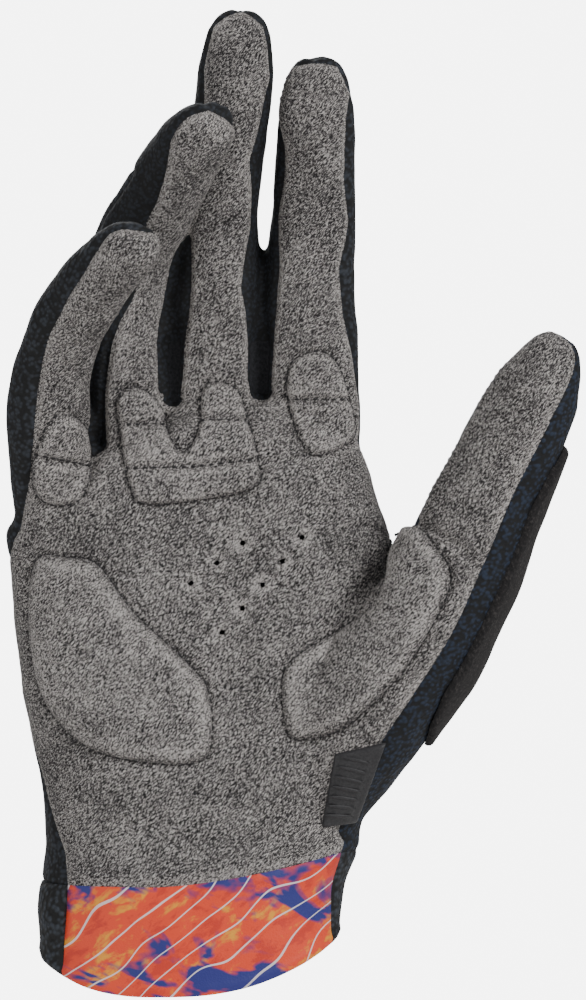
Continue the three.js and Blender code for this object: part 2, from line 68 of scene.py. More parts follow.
@dataclass(frozen=True)
class Bone:
    """One straight part of a digit: its share of the length and the way it points, in degrees."""

    share: float
    lean: float
    curl: float


@dataclass(frozen=True)
class Station:
    """A section of a digit: shares of its length, width and depth, and where the palm leather ends."""

    along: float
    width: float
    depth: float
    seam: float


@dataclass(frozen=True)
class Section:
    """A section of the palm or cuff, as shares of the palm's length, width and depth."""

    up: float
    left: float
    right: float
    front: float
    back: float
    hollow: float
    slope: float
    bow: float
    seam_left: float
    seam_right: float


FINGER_STATIONS = (
    Station(0.0, 0.82, 0.86, 0.1),
    Station(0.16, 0.96, 0.95, 0.1),
    Station(0.31, 1.0, 0.97, 0.15),
    Station(0.47, 1.0, 1.0, 0.15),
    Station(0.63, 0.97, 0.97, 0.1),
    Station(0.77, 0.91, 0.93, 0.0),
    Station(0.88, 0.85, 0.85, 0.0),
    Station(0.95, 0.71, 0.67, 0.0),
    Station(0.985, 0.54, 0.46, 0.0),
    Station(1.0, 0.3, 0.22, 0.0),
)
CURLED_STATIONS = (
    *FINGER_STATIONS[:5],
    Station(0.77, 0.93, 0.93, -0.05),
    Station(0.88, 0.86, 0.85, -0.15),
    Station(0.95, 0.73, 0.67, -0.3),
    Station(0.985, 0.56, 0.46, -0.4),
    Station(1.0, 0.3, 0.22, -0.4),
)
MIDDLE_STATIONS = (
    Station(0.0, 0.82, 0.86, 0.1),
    Station(0.16, 0.96, 0.95, 0.1),
    Station(0.31, 0.98, 0.97, 0.15),
    Station(0.45, 0.92, 1.0, 0.15),
    Station(0.55, 0.865, 0.97, 0.1),
    Station(0.68, 0.845, 0.95, 0.0),
    Station(0.77, 0.865, 0.92, 0.0),
    Station(0.86, 0.88, 0.86, 0.0),
    Station(0.95, 0.73, 0.67, 0.0),
    Station(0.985, 0.55, 0.46, 0.0),
    Station(1.0, 0.3, 0.22, 0.0),
)
THUMB_STATIONS = (
    Station(0.0, 0.8, 0.75, 0.5),
    Station(0.18, 1.0, 0.98, 0.6),
    Station(0.33, 1.06, 1.06, 0.64),
    Station(0.46, 1.03, 1.0, 0.64),
    Station(0.58, 0.95, 0.9, 0.64),
    Station(0.7, 0.87, 0.8, 0.62),
    Station(0.81, 0.82, 0.7, 0.6),
    Station(0.9, 0.73, 0.62, 0.5),
    Station(0.955, 0.55, 0.5, 0.2),
    Station(0.986, 0.4, 0.36, 0.0),
    Station(1.0, 0.22, 0.2, 0.0),
)
PALM_SECTIONS = (
    Section(-0.1, -0.43, 0.42, 0.64, 0.56, 0.0, 0.0, 0.0, -0.42, -0.24),
    Section(0.04, -0.427, 0.42, 0.64, 0.56, 0.0, 0.0, 0.0, -0.42, -0.24),
    Section(0.147, -0.42, 0.432, 0.6, 0.53, 0.0, 0.0, 0.0, -0.4, -0.26),
    Section(0.206, -0.41, 0.475, 0.58, 0.52, 0.0, 0.0, 0.0, -0.33, -0.3),
    Section(0.331, -0.42, 0.5, 0.585, 0.51, 0.03, 0.0, 0.0, -0.12, -0.1),
    Section(0.478, -0.475, 0.5, 0.58, 0.5, 0.1, 0.0, 0.0, -0.03, 0.0),
    Section(0.625, -0.498, 0.545, 0.545, 0.485, 0.14, 0.02, 0.0, 0.02, 0.05),
    Section(0.735, -0.505, 0.575, 0.49, 0.47, 0.12, 0.05, 0.05, 0.04, 0.1),
    Section(0.794, -0.515, 0.54, 0.47, 0.455, 0.1, 0.08, 0.15, -0.12, 0.1),
    Section(0.86, -0.522, 0.51, 0.45, 0.44, 0.07, 0.14, 0.3, -0.2, 0.08),
    Section(0.915, -0.52, 0.498, 0.4, 0.39, 0.04, 0.18, 0.5, -0.2, 0.02),
    Section(0.955, -0.49, 0.475, 0.31, 0.31, 0.0, 0.22, 0.62, -0.08, -0.06),
    Section(0.985, -0.42, 0.41, 0.18, 0.18, 0.0, 0.26, 0.85, 0.06, 0.0),
)
HOLLOW_CENTRE = 0.06
HOLLOW_SPREAD = 0.2


def unit(vectors: Array) -> Array:
    """Vectors of length one."""
    return vectors / np.maximum(np.linalg.norm(vectors, axis=-1, keepdims=True), 1e-12)


def smooth_step(low: float, high: float, value: Array) -> Array:
    """0 below low, 1 above high and an even rise between."""
    share = np.clip((value - low) / (high - low), 0.0, 1.0)
    return share * share * (3.0 - 2.0 * share)


def bell(distance: Array, width: float) -> Array:
    """1 at distance 0, falling to nothing over about two widths."""
    return np.exp(-((distance / width) ** 2))


def superellipse(angle: Array) -> tuple[Array, Array]:
    """Unit section of a digit or palm, a little squarer than an ellipse."""
    def power(value: Array) -> Array:
        return np.sign(value) * np.abs(value) ** (2.0 / SQUARENESS)
    return power(np.cos(angle)), power(np.sin(angle))


@dataclass(frozen=True)
class Digit:
    """A finger or thumb: where its knuckle sits, its sizes and its bones.

    Attributes:
        root: shares of the palm's width and length, and mm of depth.
        flare: how much wider it grows at its root.
        roll: how far its palm side turns to the thumb side, in degrees.
    """

    name: str
    root: tuple[float, float, float]
    length: float
    width: float
    depth: float
    flare: float
    roll: float
    bones: tuple[Bone, ...]
    stations: tuple[Station, ...] = FINGER_STATIONS
    samples: int = 96

    def knuckles(self) -> Array:
        """Points of the bent line from the root to the tip."""
        at = np.array([self.root[0] * PALM_WIDTH, self.root[2], self.root[1] * PALM_LENGTH])
        points = [at]
        for bone in self.bones:
            lean, curl = math.radians(bone.lean), math.radians(bone.curl)
            along = np.array([
                math.sin(lean) * math.cos(curl), -math.sin(curl), math.cos(lean) * math.cos(curl)])
            at = at + along * bone.share * self.length
            points.append(at)
        return np.array(points)

    def line(self) -> Array:
        """Centripetal Catmull-Rom curve through the knuckles, evenly spaced along its length."""
        knots = self.knuckles()
        knots = np.vstack([2 * knots[0] - knots[1], knots, 2 * knots[-1] - knots[-2]])
        dense = []
        for i in range(1, len(knots) - 2):
            p0, p1, p2, p3 = knots[i - 1:i + 3]
            d0, d1, d2 = (math.sqrt(np.linalg.norm(b - a)) for a, b in ((p0, p1), (p1, p2), (p2, p3)))
            t1 = ((p1 - p0) / d0 - (p2 - p0) / (d0 + d1) + (p2 - p1) / d1) * d1
            t2 = ((p2 - p1) / d1 - (p3 - p1) / (d1 + d2) + (p3 - p2) / d2) * d1
            t = np.linspace(0.0, 1.0, 60)[:, None]
            dense.append(
                p1 + t1 * t + (-3 * p1 + 3 * p2 - 2 * t1 - t2) * t ** 2
                + (2 * p1 - 2 * p2 + t1 + t2) * t ** 3)
        path = np.vstack(dense)
        run = np.r_[0.0, np.cumsum(np.linalg.norm(np.diff(path, axis=0), axis=1))]
        even = np.linspace(0.0, run[-1], self.samples)
        return np.stack([np.interp(even, run, path[:, k]) for k in range(3)], axis=1)

    def table(self, key: str) -> Array:
        """One column of the stations' table, at each point of the line."""
        along = np.linspace(0.0, 1.0, self.samples)
        return np.interp(along, [s.along for s in self.stations], [getattr(s, key) for s in self.stations])

    def frames(self) -> dict[str, Array]:
        """Centre, directions, half sizes and seam at each point of the line."""
        centre = self.line()
        tangent = unit(np.gradient(centre, axis=0))
        roll = math.radians(self.roll)
        palm_side = np.array([math.sin(roll), -math.cos(roll), 0.0])
        front = unit(palm_side - tangent * (tangent @ palm_side)[:, None])
        along = np.linspace(0.0, 1.0, self.samples)
        flare = 1 + (self.flare - 1) * np.clip(1 - along / FLARE_END, 0.0, 1.0)
        return {
            "centre": centre,
            "tangent": tangent,
            "front": front,
            "side": np.cross(tangent, front),
            "half_width": self.table("width") * self.width * flare / 2,
            "half_depth": self.table("depth") * self.depth / 2,
            "seam": self.table("seam"),
            "along": along,
        }

    def rings(self, facets: int = 48) -> Array:
        """Rings of points round the digit, for its loft."""
        f = self.frames()
        across, deep = superellipse(2 * np.pi * (np.arange(facets) + 0.5) / facets)
        return (
            f["centre"][:, None]
            + f["side"][:, None] * (across * f["half_width"][:, None])[..., None]
            - f["front"][:, None] * (deep * f["half_depth"][:, None])[..., None])

    def local(self, points: Array) -> dict[str, Array]:
        """Where points lie on the digit: along it, across, deep and how far outside its tube, in mm."""
        f = self.frames()
        step = np.linalg.norm(f["centre"][1] - f["centre"][0])
        keys = ("along", "across", "deep", "outside", "seam", "half_width", "half_depth")
        found = {key: np.empty(len(points)) for key in keys}
        for start in range(0, len(points), 20000):
            part = points[start:start + 20000]
            span = slice(start, start + len(part))
            gap = ((part[:, None] - f["centre"][None]) ** 2).sum(-1)
            near = gap.argmin(1)
            offset = part - f["centre"][near]
            slide = (offset * f["tangent"][near]).sum(1)
            along = f["along"][near] + slide / step / (self.samples - 1)
            across = (offset * f["side"][near]).sum(1)
            deep = (offset * f["front"][near]).sum(1)
            half_width = np.interp(along, f["along"], f["half_width"])
            half_depth = np.interp(along, f["along"], f["half_depth"])
            reach = (np.abs(across / half_width) ** SQUARENESS
                     + np.abs(deep / half_depth) ** SQUARENESS) ** (1 / SQUARENESS)
            past = np.maximum(np.maximum(along - 1, -along), 0) * step * (self.samples - 1)
            found["along"][span] = along
            found["across"][span] = across
            found["deep"][span] = deep
            found["half_width"][span] = half_width
            found["half_depth"][span] = half_depth
            found["seam"][span] = np.interp(along, f["along"], f["seam"])
            radius = np.sqrt(across ** 2 + deep ** 2)
            found["outside"][span] = radius * (1 - 1 / np.maximum(reach, 1e-6)) + past
        return found


INDEX = Digit("index", (0.347, 0.879, 2), 100, 21, 18, 1.28, -4,
              (Bone(0.504, -0.9, 5), Bone(0.273, 2.9, 13), Bone(0.223, 0, 21)))
MIDDLE = Digit("middle", (0.046, 0.893, 3), 110, 20.8, 18.5, 1.28, -8,
               (Bone(0.484, 3.2, 6.5), Bone(0.268, 6, 13.5), Bone(0.248, 6.5, 21.5)), MIDDLE_STATIONS)
RING = Digit("ring", (-0.163, 0.879, 1), 103, 20.2, 17.4, 1.06, 42,
             (Bone(0.448, -2.2, 8), Bone(0.298, 26, 36), Bone(0.254, 37, 44)), CURLED_STATIONS)
LITTLE = Digit("little", (-0.387, 0.789, 1), 91, 18, 16, 1.38, 36,
               (Bone(0.437, 0.5, 28), Bone(0.295, 26.5, 38), Bone(0.268, 48, 42)), CURLED_STATIONS)
THUMB = Digit("thumb", (0.257, 0.234, -1), 139, 29, 27, 1, -38,
              (Bone(0.483, 34, 12), Bone(0.274, 24.5, 9), Bone(0.243, 25, 15)), THUMB_STATIONS)
FINGERS = (INDEX, MIDDLE, RING, LITTLE)
DIGITS = (*FINGERS, THUMB)
WEBS = (
    Digit("web_index_middle", (0.2, 0.87, 5), 54, 9, 8, 1, 0,
          (Bone(0.5, -0.5, 4), Bone(0.3, 0, 6), Bone(0.2, 0, 8))),
    Digit("web_middle_ring", (-0.055, 0.87, 4), 62, 11, 8, 1, 10,
          (Bone(0.4, 1, 5), Bone(0.35, 4, 8), Bone(0.25, 6, 10))),
    Digit("web_ring_little", (-0.265, 0.84, 3), 52, 11, 8, 1, 20,
          (Bone(0.4, 0, 6), Bone(0.35, 8, 14), Bone(0.25, 18, 20))),
)


class Palm:
    """The palm, wrist and cuff."""

    def column(self, key: str, up: Array) -> Array:
        """One column of the sections' table at shares of the palm's length."""
        return np.interp(up, [s.up for s in PALM_SECTIONS], [getattr(s, key) for s in PALM_SECTIONS])

    def lift(self, up: Array, x: Array) -> Array:
        """Height of a section at x."""
        centre = (self.column("left", up) + self.column("right", up)) * PALM_WIDTH / 2
        off = x - centre
        slope, bow = self.column("slope", up), self.column("bow", up)
        return up * PALM_LENGTH + slope * off - bow * off ** 2 / PALM_WIDTH

    def rings(self, facets: int = 96, steps: int = 70) -> Array:
        """Rings of points round the palm, for its loft."""
        up = np.linspace(PALM_SECTIONS[0].up, PALM_SECTIONS[-1].up, steps)[:, None]
        left, right = self.column("left", up) * PALM_WIDTH, self.column("right", up) * PALM_WIDTH
        across, reach = superellipse(2 * np.pi * (np.arange(facets) + 0.5) / facets)
        x = (left + right) / 2 + (right - left) / 2 * across
        depth = np.where(reach < 0, self.column("front", up), self.column("back", up)) * PALM_DEPTH
        dip = bell(x / PALM_WIDTH - HOLLOW_CENTRE, HOLLOW_SPREAD)
        y = reach * depth - np.minimum(reach, 0) * self.column("hollow", up) * PALM_DEPTH * dip
        return np.stack([x, y, self.lift(up, x)], axis=-1)

    def local(self, points: Array) -> dict[str, Array]:
        """Where points lie on the palm: which section, how far in front of its seam and outside it, in mm."""
        x, y, z = points.T
        up = z / PALM_LENGTH
        for _ in range(6):
            up = up - (self.lift(up, x) - z) / PALM_LENGTH * 0.8
            up = np.clip(up, PALM_SECTIONS[0].up, PALM_SECTIONS[-1].up)
        left, right = self.column("left", up) * PALM_WIDTH, self.column("right", up) * PALM_WIDTH
        half = (right - left) / 2
        depth = np.where(y < 0, self.column("front", up), self.column("back", up)) * PALM_DEPTH
        reach = (np.abs((x - (left + right) / 2) / half) ** SQUARENESS
                 + np.abs(y / depth) ** SQUARENESS) ** (1 / SQUARENESS)
        radius = np.hypot(x - (left + right) / 2, y)
        outside = radius * (1 - 1 / np.maximum(reach, 1e-6)) + np.maximum(z - self.lift(up, x), 0)
        share = np.clip((x - left) / (right - left), -0.1, 1.1)
        seam_left, seam_right = self.column("seam_left", up), self.column("seam_right", up)
        seam = (seam_left * (1 - share) + seam_right * share) * PALM_DEPTH
        return {"up": up, "outside": outside, "front": seam - y}


# Meshes as arrays

@dataclass
class Cloth:
    """A triangle mesh as arrays, with a value per point for each named field."""

    points: Array
    faces: Array
    fields: dict[str, Array] = field(default_factory=dict)

    def split(self, values: Array) -> tuple["Cloth", Array]:
        """Cuts the triangles along the line where values pass zero.

        Args:
            values: one number per point.

        Returns:
            The cut mesh and, for each of its faces, whether it lies on the positive side.
        """
        values = np.where(np.abs(values) < 1e-3, 1e-3, values)
        high = values[self.faces] > 0
        count = high.sum(1)
        whole = (count == 0) | (count == 3)
        cut = self.faces[~whole]
        lone_high = count[~whole] == 1
        lone = np.argmax(high[~whole] == lone_high[:, None], axis=1)
        rows = np.arange(len(cut))
        a, b, c = cut[rows, lone], cut[rows, (lone + 1) % 3], cut[rows, (lone + 2) % 3]
        pairs = np.sort(np.concatenate([np.stack([a, b], 1), np.stack([a, c], 1)]), axis=1)
        edges, index = np.unique(pairs, axis=0, return_inverse=True)
        index = index.reshape(-1)
        i, j = edges.T
        share = values[i] / (values[i] - values[j])
        base = len(self.points)
        ab, ac = base + index[:len(cut)], base + index[len(cut):]

        def mixed(data: Array) -> Array:
            weight = share if data.ndim == 1 else share[:, None]
            return np.concatenate([data, data[i] * (1 - weight) + data[j] * weight])

        faces = np.concatenate([
            self.faces[whole], np.stack([a, ab, ac], 1), np.stack([ab, b, c], 1), np.stack([ab, c, ac], 1)])
        positive = np.concatenate([count[whole] == 3, lone_high, ~lone_high, ~lone_high])
        fields = {name: mixed(data) for name, data in self.fields.items()}
        return Cloth(mixed(self.points), faces, fields), positive

    def take(self, chosen: Array) -> "Cloth":
        """The chosen faces as a mesh of their own."""
        faces = self.faces[chosen]
        used, packed = np.unique(faces, return_inverse=True)
        return Cloth(
            self.points[used], packed.reshape(-1, 3), {k: v[used] for k, v in self.fields.items()})

    def part(self, values: Array) -> tuple["Cloth", "Cloth"]:
        """The sides of the mesh where values are positive and negative."""
        made, positive = self.split(values)
        return made.take(positive), made.take(~positive)

    def edges(self) -> tuple[Array, Array]:
        """Each edge once, and how many faces it has."""
        ends = np.concatenate([self.faces[:, [0, 1]], self.faces[:, [1, 2]], self.faces[:, [2, 0]]])
        return np.unique(np.sort(ends, axis=1), axis=0, return_counts=True)

    def rim(self) -> Array:
        """Points on the open border."""
        pairs, count = self.edges()
        return np.unique(pairs[count == 1])

    def normals(self) -> Array:
        """Outward direction at each point."""
        a, b, c = (self.points[self.faces[:, k]] for k in range(3))
        flat = np.cross(b - a, c - a)
        total = np.zeros_like(self.points)
        for k in range(3):
            np.add.at(total, self.faces[:, k], flat)
        return unit(total)

    def raised(self, height: Array) -> "Cloth":
        """The same mesh with its points moved outwards by height, in mm."""
        return Cloth(self.points + self.fields["normal"] * height[:, None], self.faces, self.fields)

    def relax(self, weight: Array | float, rounds: int, hold: float = 0.0) -> None:
        """Smooths the points towards their neighbours' middle.

        Args:
            weight: how far each round moves a point, 0 to 1.
            rounds: how often.
            hold: how much of each move is given back, against shrinking.
        """
        pairs, _ = self.edges()
        i, j = pairs.T
        degree = np.bincount(pairs.ravel(), minlength=len(self.points))[:, None]
        weight = np.broadcast_to(np.asarray(weight, float), (len(self.points),))[:, None]
        for _ in range(rounds):
            for sign in (1.0, -hold):
                if sign == 0:
                    continue
                total = np.stack([
                    np.bincount(i, self.points[j, k], len(self.points))
                    + np.bincount(j, self.points[i, k], len(self.points)) for k in range(3)], axis=1)
                self.points = self.points + sign * weight * (total / degree - self.points)

    def contour(self, values: Array, level: float) -> list[tuple[Array, Array]]:
        """Lines on the mesh where values equal level, as points and surface directions."""
        values = values - level
        values = np.where(np.abs(values) < 1e-4, 1e-4, values)
        high = values[self.faces] > 0
        count = high.sum(1)
        cut = (count == 1) | (count == 2)
        faces = self.faces[cut]
        lone_high = count[cut] == 1
        lone = np.argmax(high[cut] == lone_high[:, None], axis=1)
        rows = np.arange(len(faces))
        a = faces[rows, lone]
        pairs = [np.sort(np.stack([a, faces[rows, (lone + k) % 3]], 1), axis=1) for k in (1, 2)]
        edges, index = np.unique(np.concatenate(pairs), axis=0, return_inverse=True)
        index = index.reshape(-1)
        i, j = edges.T
        share = (values[i] / (values[i] - values[j]))[:, None]
        points = self.points[i] * (1 - share) + self.points[j] * share
        out = self.fields["normal"]
        normals = unit(out[i] * (1 - share) + out[j] * share)
        links: dict[int, list[int]] = {}
        for p, q in zip(index[:len(faces)].tolist(), index[len(faces):].tolist()):
            links.setdefault(p, []).append(q)
            links.setdefault(q, []).append(p)
        lines = []
        seen: set[int] = set()
        starts = [p for p, q in links.items() if len(q) == 1] + list(links)
        for start in starts:
            if start in seen:
                continue
            chain, at = [start], start
            seen.add(start)
            while True:
                ahead = [q for q in links[at] if q not in seen]
                if not ahead:
                    break
                at = ahead[0]
                seen.add(at)
                chain.append(at)
            if len(links[start]) == 2 and start in links[at]:
                chain.append(start)
            if len(chain) > 3:
                lines.append((points[chain], normals[chain]))
        return lines


def lofted(rings: Array) -> tuple[Array, list[tuple[int, ...]]]:
    """Points and faces of a closed loft through rings."""
    count, facets, _ = rings.shape
    points = np.vstack([rings.reshape(-1, 3), rings[0].mean(0), rings[-1].mean(0)])
    faces: list[tuple[int, ...]] = []
    for i in range(count - 1):
        for j in range(facets):
            k = (j + 1) % facets
            faces.append((i * facets + j, i * facets + k, (i + 1) * facets + k, (i + 1) * facets + j))
    for j in range(facets):
        k = (j + 1) % facets
        faces.append((count * facets, k, j))
        faces.append((count * facets + 1, (count - 1) * facets + j, (count - 1) * facets + k))
    return points, faces


def new_mesh(name: str, points: Array, faces: Any) -> bpy.types.Object:
    """A mesh object at the origin, from points in mm."""
    mesh = bpy.data.meshes.new(name)
    mesh.from_pydata((np.asarray(points) * MM).tolist(), [], np.asarray(faces).tolist()
                     if isinstance(faces, np.ndarray) else faces)
    mesh.update()
    made = bpy.data.objects.new(name, mesh)
    bpy.context.scene.collection.objects.link(made)
    return made


def evaluated(obj: bpy.types.Object) -> bpy.types.Mesh:
    """The mesh of an object with its modifiers."""
    graph = bpy.context.evaluated_depsgraph_get()
    return bpy.data.meshes.new_from_object(obj.evaluated_get(graph))


def bake(obj: bpy.types.Object) -> bpy.types.Object:
    """Makes an object's modifiers part of its mesh."""
    mesh = evaluated(obj)
    obj.modifiers.clear()
    obj.data = mesh
    return obj


def nearest(points: Array, targets: Array) -> Array:
    """Distance from each point to the nearest target."""
    tree = KDTree(len(targets))
    for i, target in enumerate(targets):
        tree.insert(target, i)
    tree.balance()
    return np.array([tree.find(p)[2] for p in points])


def polygon_depth(outline: Array, across: Array, up: Array) -> Array:
    """Signed distance from points of a plane to a closed outline, positive inside."""
    best = np.full(len(across), 1e9)
    inside = np.zeros(len(across), bool)
    for (x0, z0), (x1, z1) in zip(outline, np.roll(outline, -1, axis=0)):
        best = np.minimum(best, segment_distance((x0, z0), (x1, z1), across, up))
        crosses = (z0 > up) != (z1 > up)
        with np.errstate(divide="ignore", invalid="ignore"):
            edge = (x1 - x0) * (up - z0) / (z1 - z0) + x0
        inside ^= crosses & (across < edge)
    return np.where(inside, best, -best)


def segment_distance(start: Sequence[float], end: Sequence[float], across: Array, up: Array) -> Array:
    """Distance from points of a plane to a straight piece."""
    dx, dz = end[0] - start[0], end[1] - start[1]
    share = np.clip(((across - start[0]) * dx + (up - start[1]) * dz) / max(dx * dx + dz * dz, 1e-9), 0, 1)
    return np.hypot(across - start[0] - share * dx, up - start[1] - share * dz)


def path_distance(path: Sequence[Sequence[float]], across: Array, up: Array) -> Array:
    """Distance from points of a plane to an open path."""
    return np.min([segment_distance(a, b, across, up) for a, b in zip(path, path[1:])], axis=0)


def rounded(points: Sequence[Sequence[float]], steps: int = 8) -> Array:
    """A closed outline with its corners rounded, through its points, in mm."""
    knots = np.array(points) * (PALM_WIDTH, PALM_LENGTH)
    made = []
    for i in range(len(knots)):
        p0, p1, p2, p3 = (knots[(i + k) % len(knots)] for k in (-1, 0, 1, 2))
        for t in np.arange(steps) / steps:
            made.append(0.5 * (2 * p1 + (p2 - p0) * t + (2 * p0 - 5 * p1 + 4 * p2 - p3) * t ** 2
                               + (3 * p1 - p0 - 3 * p2 + p3) * t ** 3))
    return np.array(made)


# Colours and finishes

def colour(code: str) -> tuple[float, float, float, float]:
    """A linear colour from its sRGB hex value."""
    parts = [int(code[i:i + 2], 16) / 255 for i in (1, 3, 5)]
    line = [c / 12.92 if c <= 0.04045 else ((c + 0.055) / 1.055) ** 2.4 for c in parts]
    return (*line, 1.0)


def add_node(tree: bpy.types.NodeTree, kind: str, settings: dict[str, Any] | None = None,
             inputs: dict[Any, Any] | None = None) -> bpy.types.Node:
    """Adds a node.

    Args:
        tree: the tree it goes into.
        kind: its type.
        settings: its properties.
        inputs: values, or sockets to link, by input name or number.

    Returns:
        The node.
    """
    made = tree.nodes.new(kind)
    for name, value in (settings or {}).items():
        setattr(made, name, value)
    for name, value in (inputs or {}).items():
        if isinstance(value, bpy.types.NodeSocket):
            tree.links.new(value, made.inputs[name])
        else:
            made.inputs[name].default_value = value
    return made


def ramp(tree: bpy.types.NodeTree, value: bpy.types.NodeSocket,
         stops: Sequence[tuple[float, str]]) -> bpy.types.NodeSocket:
    """Colours by value, through stops of position and hex colour."""
    made = add_node(tree, "ShaderNodeValToRGB", inputs={0: value})
    elements = made.color_ramp.elements
    while len(elements) < len(stops):
        elements.new(1.0)
    for element, (at, code) in zip(elements, stops):
        element.position = at
        element.color = colour(code)
    return made.outputs[0]


def maths(tree: bpy.types.NodeTree, operation: str, *values: Any) -> bpy.types.NodeSocket:
    """The result of one sum on sockets or numbers."""
    return add_node(tree, "ShaderNodeMath", {"operation": operation}, dict(enumerate(values))).outputs[0]


def blend(tree: bpy.types.NodeTree, share: Any, low: Any, high: Any) -> bpy.types.NodeSocket:
    """Two colours mixed."""
    return add_node(tree, "ShaderNodeMix", {"data_type": "RGBA"}, {0: share, 6: low, 7: high}).outputs[2]


class Pattern:
    """Texture coordinates of a finish, in mm on the piece."""

    def __init__(self, name: str) -> None:
        """Starts an empty material of that name."""
        self.material = bpy.data.materials.new(name)
        self.material.use_nodes = True
        self.tree = self.material.node_tree
        self.tree.nodes.clear()
        self.place = add_node(self.tree, "ShaderNodeTexCoord").outputs["Object"]

    def turned(self, angle: tuple[float, float, float],
               cell: tuple[float, float, float]) -> bpy.types.NodeSocket:
        """Object coordinates turned by degrees and counted in cells of that size in mm."""
        turn = add_node(self.tree, "ShaderNodeMapping", inputs={
            0: self.place, "Rotation": tuple(math.radians(a) for a in angle)})
        return add_node(self.tree, "ShaderNodeMapping", inputs={
            0: turn.outputs[0], "Scale": tuple(1 / (c * MM) for c in cell)}).outputs[0]

    def noise(self, where: bpy.types.NodeSocket, detail: float = 2.0, rough: float = 0.5,
              bend: float = 0.0) -> bpy.types.NodeSocket:
        """Noise with one swing per cell."""
        return add_node(self.tree, "ShaderNodeTexNoise", inputs={
            "Vector": where, "Scale": 1.0, "Detail": detail, "Roughness": rough,
            "Distortion": bend}).outputs["Fac"]

    def cells(self, where: bpy.types.NodeSocket, feature: str = "F1") -> bpy.types.NodeSocket:
        """Distance inside scattered cells, one to each unit."""
        return add_node(self.tree, "ShaderNodeTexVoronoi", {"feature": feature}, {
            "Vector": where, "Scale": 1.0}).outputs["Distance"]

    def attribute(self, name: str) -> bpy.types.NodeSocket:
        """A number that the piece carries at each point."""
        return add_node(self.tree, "ShaderNodeAttribute", {"attribute_name": name}).outputs["Fac"]

    def bump(self, height: bpy.types.NodeSocket, deep: float) -> bpy.types.NodeSocket:
        """Surface directions for relief that deep, in mm."""
        return add_node(self.tree, "ShaderNodeBump", inputs={
            "Strength": 1.0, "Distance": deep * MM, "Height": height}).outputs[0]

    def finish(self, base: Any, rough: float, normal: bpy.types.NodeSocket | None = None,
               ior: float = 1.45, **coats: Any) -> bpy.types.Material:
        """Ends the material in one shader."""
        inputs: dict[Any, Any] = {"Base Color": base, "Roughness": rough, "IOR": ior, "Metallic": 0.0}
        if normal is not None:
            inputs["Normal"] = normal
        inputs.update({name.replace("_", " "): value for name, value in coats.items()})
        shader = add_node(self.tree, "ShaderNodeBsdfPrincipled", inputs=inputs)
        add_node(self.tree, "ShaderNodeOutputMaterial", inputs={"Surface": shader.outputs[0]})
        return self.material


@dataclass(frozen=True)
class Microsuede:
    """Brushed microfibre suede: short pale fibres lie over a near-black ground, all one way."""

    dark: str = "#0f0e10"
    middle: str = "#4b4849"
    pale: str = "#c2bdb9"
    strand: tuple[float, float, float] = (0.2, 0.45, 0.68)
    lay: float = -44.0
    relief: float = 0.18

    def material(self) -> bpy.types.Material:
        """The suede of palm and pads."""
        p = Pattern("microsuede_brushed")
        strands = p.noise(p.turned((0, self.lay, 0), self.strand), 2.0, 0.55, 0.6)
        clouds = p.noise(p.turned((0, 0, 0), (9, 9, 9)), 2.0, 0.5)
        shifted = maths(p.tree, "ADD", strands, maths(p.tree, "MULTIPLY", maths(
            p.tree, "SUBTRACT", clouds, 0.5), 0.12))
        # The lightening is rubbed nap; the darkening in grooves and channels is painted shade.
        wear_and_shade = maths(p.tree, "ADD", shifted, maths(p.tree, "MULTIPLY", p.attribute("wear_and_shade"), 0.07))
        base = ramp(p.tree, wear_and_shade, [(0.38, self.dark), (0.5, self.middle), (0.63, self.pale)])
        return p.finish(base, 0.92, p.bump(strands, self.relief), 1.45,
                        Sheen_Weight=0.08, Sheen_Roughness=0.5, Sheen_Tint=colour("#c9c4c0"))


@dataclass(frozen=True)
class Knit:
    """Warp-knitted polyester: even bumps of yarn with dark gaps between the loops."""

    name: str
    gap: str
    yarn: str
    stitch: tuple[float, float, float]
    relief: float = 0.25
    roughness: float = 0.8
    sheen: float = 0.03

    def material(self) -> bpy.types.Material:
        """The knit of one panel."""
        p = Pattern(self.name)
        loops = p.cells(p.turned((0, 25, 0), self.stitch), "SMOOTH_F1")
        streaks = p.noise(p.turned((0, 0, 0), (5, 5, 9)), 3.0, 0.6)
        shade = maths(p.tree, "ADD", loops, maths(p.tree, "MULTIPLY", maths(
            p.tree, "SUBTRACT", streaks, 0.5), 0.25))
        base = ramp(p.tree, shade, [(0.22, self.yarn), (0.5, self.gap)])
        height = maths(p.tree, "SUBTRACT", 1.0, loops)
        return p.finish(base, self.roughness, p.bump(height, self.relief), 1.5,
                        Sheen_Weight=self.sheen, Sheen_Roughness=0.4, Sheen_Tint=colour("#8a93a8"))


@dataclass(frozen=True)
class NappedTerry:
    """Brushed terry: a dense charcoal pile with loose lighter fibre ends."""

    def material(self) -> bpy.types.Material:
        """The pile of the thumb's wipe patch."""
        p = Pattern("terry_napped_charcoal")
        pile = p.noise(p.turned((0, 20, 0), (0.6, 0.6, 0.9)), 4.0, 0.7, 0.4)
        base = ramp(p.tree, pile, [(0.36, "#0f0f10"), (0.55, "#242223"), (0.72, "#4a4645")])
        return p.finish(base, 0.95, p.bump(pile, 0.4), 1.45,
                        Sheen_Weight=0.2, Sheen_Roughness=0.6, Sheen_Tint=colour("#6a6664"))


